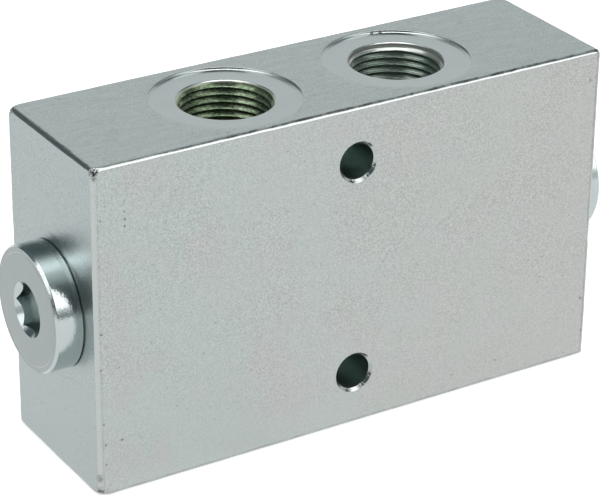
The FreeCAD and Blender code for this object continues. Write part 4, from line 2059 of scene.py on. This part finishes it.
    def camera(self) -> None:
        """Stand the camera where the photograph was taken."""
        yaw, pitch, roll = (math.radians(value) for value in (self.yaw, self.pitch, self.roll))
        ahead = Vector((math.sin(yaw) * math.cos(pitch), math.cos(yaw) * math.cos(pitch), -math.sin(pitch)))
        level_right = Vector((math.cos(yaw), -math.sin(yaw), 0))
        level_up = level_right.cross(ahead)
        right = level_right * math.cos(roll) + level_up * math.sin(roll)
        up = level_up * math.cos(roll) - level_right * math.sin(roll)
        lens = bpy.data.cameras.new("camera")
        lens.sensor_width = self.sensor
        lens.lens = self.focal_pixels / self.picture_width * self.sensor
        lens.clip_start, lens.clip_end = self.clip
        camera = placed("camera", lens)
        turn = Matrix((right, up, -ahead)).transposed()
        camera.matrix_world = Matrix.Translation(Vector(self.camera_at) * MM) @ turn.to_4x4()
        bpy.context.scene.camera = camera

    def build(self) -> None:
        """Set up the whole studio."""
        bpy.context.scene.view_settings.view_transform = "Standard"
        self.surroundings()
        self.floor()
        for lamp in self.lamps:
            self.hang(lamp)
        self.camera()


SHARP_THREAD = ThreadForm(
    start=0.48, section=((0.0, 0.05, 0.16, 0.42, 0.6, 1.0), (0.0, 0.0, 0.365, 0.925, 1.0, 0.0))
)
OLIVE_THREAD = ThreadFinish(
    "olive_thread", (0.175, 0.225, 0.145), (0.115, 0.17, 0.095), (0.36, 0.40, 0.32), 0.9 * MM, chatter=0.4
)
GREY_THREAD = ThreadFinish(
    "grey_thread",
    (0.195, 0.24, 0.21),
    (0.145, 0.20, 0.16),
    (0.37, 0.395, 0.375),
    1.75 * MM,
    root_painted_shade=0.85,
)
OLIVE_LEAD_IN = ((0.0, 8.36), (0.10, 8.2), (0.62, 7.68))
PLUG_METAL = TurnedFinish(
    "zinc_plated_plug",
    (0.54, 0.60, 0.60),
    0.14,
    # The face's darker colour is painted shade, set to match how dark the face looks.
    flat_colour=(0.335, 0.379, 0.376),
    ring_light=0.02,
    cloud=0.03,
    pebble_depth=0.00002,
)
# The socket's dark greenish colour is mostly painted shade in the recess, with a greenish tint.
SHADED_PLUG_SOCKET = TurnedFinish("plug_socket_painted_shade", (0.19, 0.25, 0.24), 0.25)
SPRING_WIRE = TurnedFinish("spring_steel", (0.30, 0.29, 0.28), 0.3)


def main() -> None:
    """Build the valve and its studio in order."""
    logging.basicConfig(level=logging.INFO, format="%(name)s: %(message)s")
    low, high = (np.array(corner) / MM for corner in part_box("valve_body"))
    length, depth, height = high - low
    places = {mount["name"]: mount["pos_m"][0] / MM for mount in frame["record"]["mounts"]}
    ports = [
        Port("port_v1", places["port_v1"], True, OLIVE_THREAD, lead_in=OLIVE_LEAD_IN),
        Port("port_v2", places["port_v2"], True, GREY_THREAD, thread=SHARP_THREAD),
        Port("port_c1", places["port_c1"], False, GREY_THREAD),
        Port("port_c2", places["port_c2"], False, GREY_THREAD),
    ]
    block = Block(length, depth, height, ports)
    log.info("built %s", block.build().name)
    for port in ports:
        log.info("built %s", port.thread_ring(height).name)
    plug_finishes = [PLUG_METAL.make(), SHADED_PLUG_SOCKET.make()]
    wire_finish = SPRING_WIRE.make()
    for side in Side:
        plug = EndPlug(side, height / 2, length / 2 - block.plug_spotface_depth, plug_finishes)
        log.info("built %s", plug.build().name)
        coil_low, coil_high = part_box("check_spring_" + side.word)
        inner, outer = sorted(abs(value) / MM for value in (coil_low.x, coil_high.x))
        spring = CheckSpring(side, height / 2, inner, outer, wire_finish)
        log.info("built %s", spring.build().name)
    InnerParts().dress()
    Studio().build()


if __name__ == "__main__":
    main()
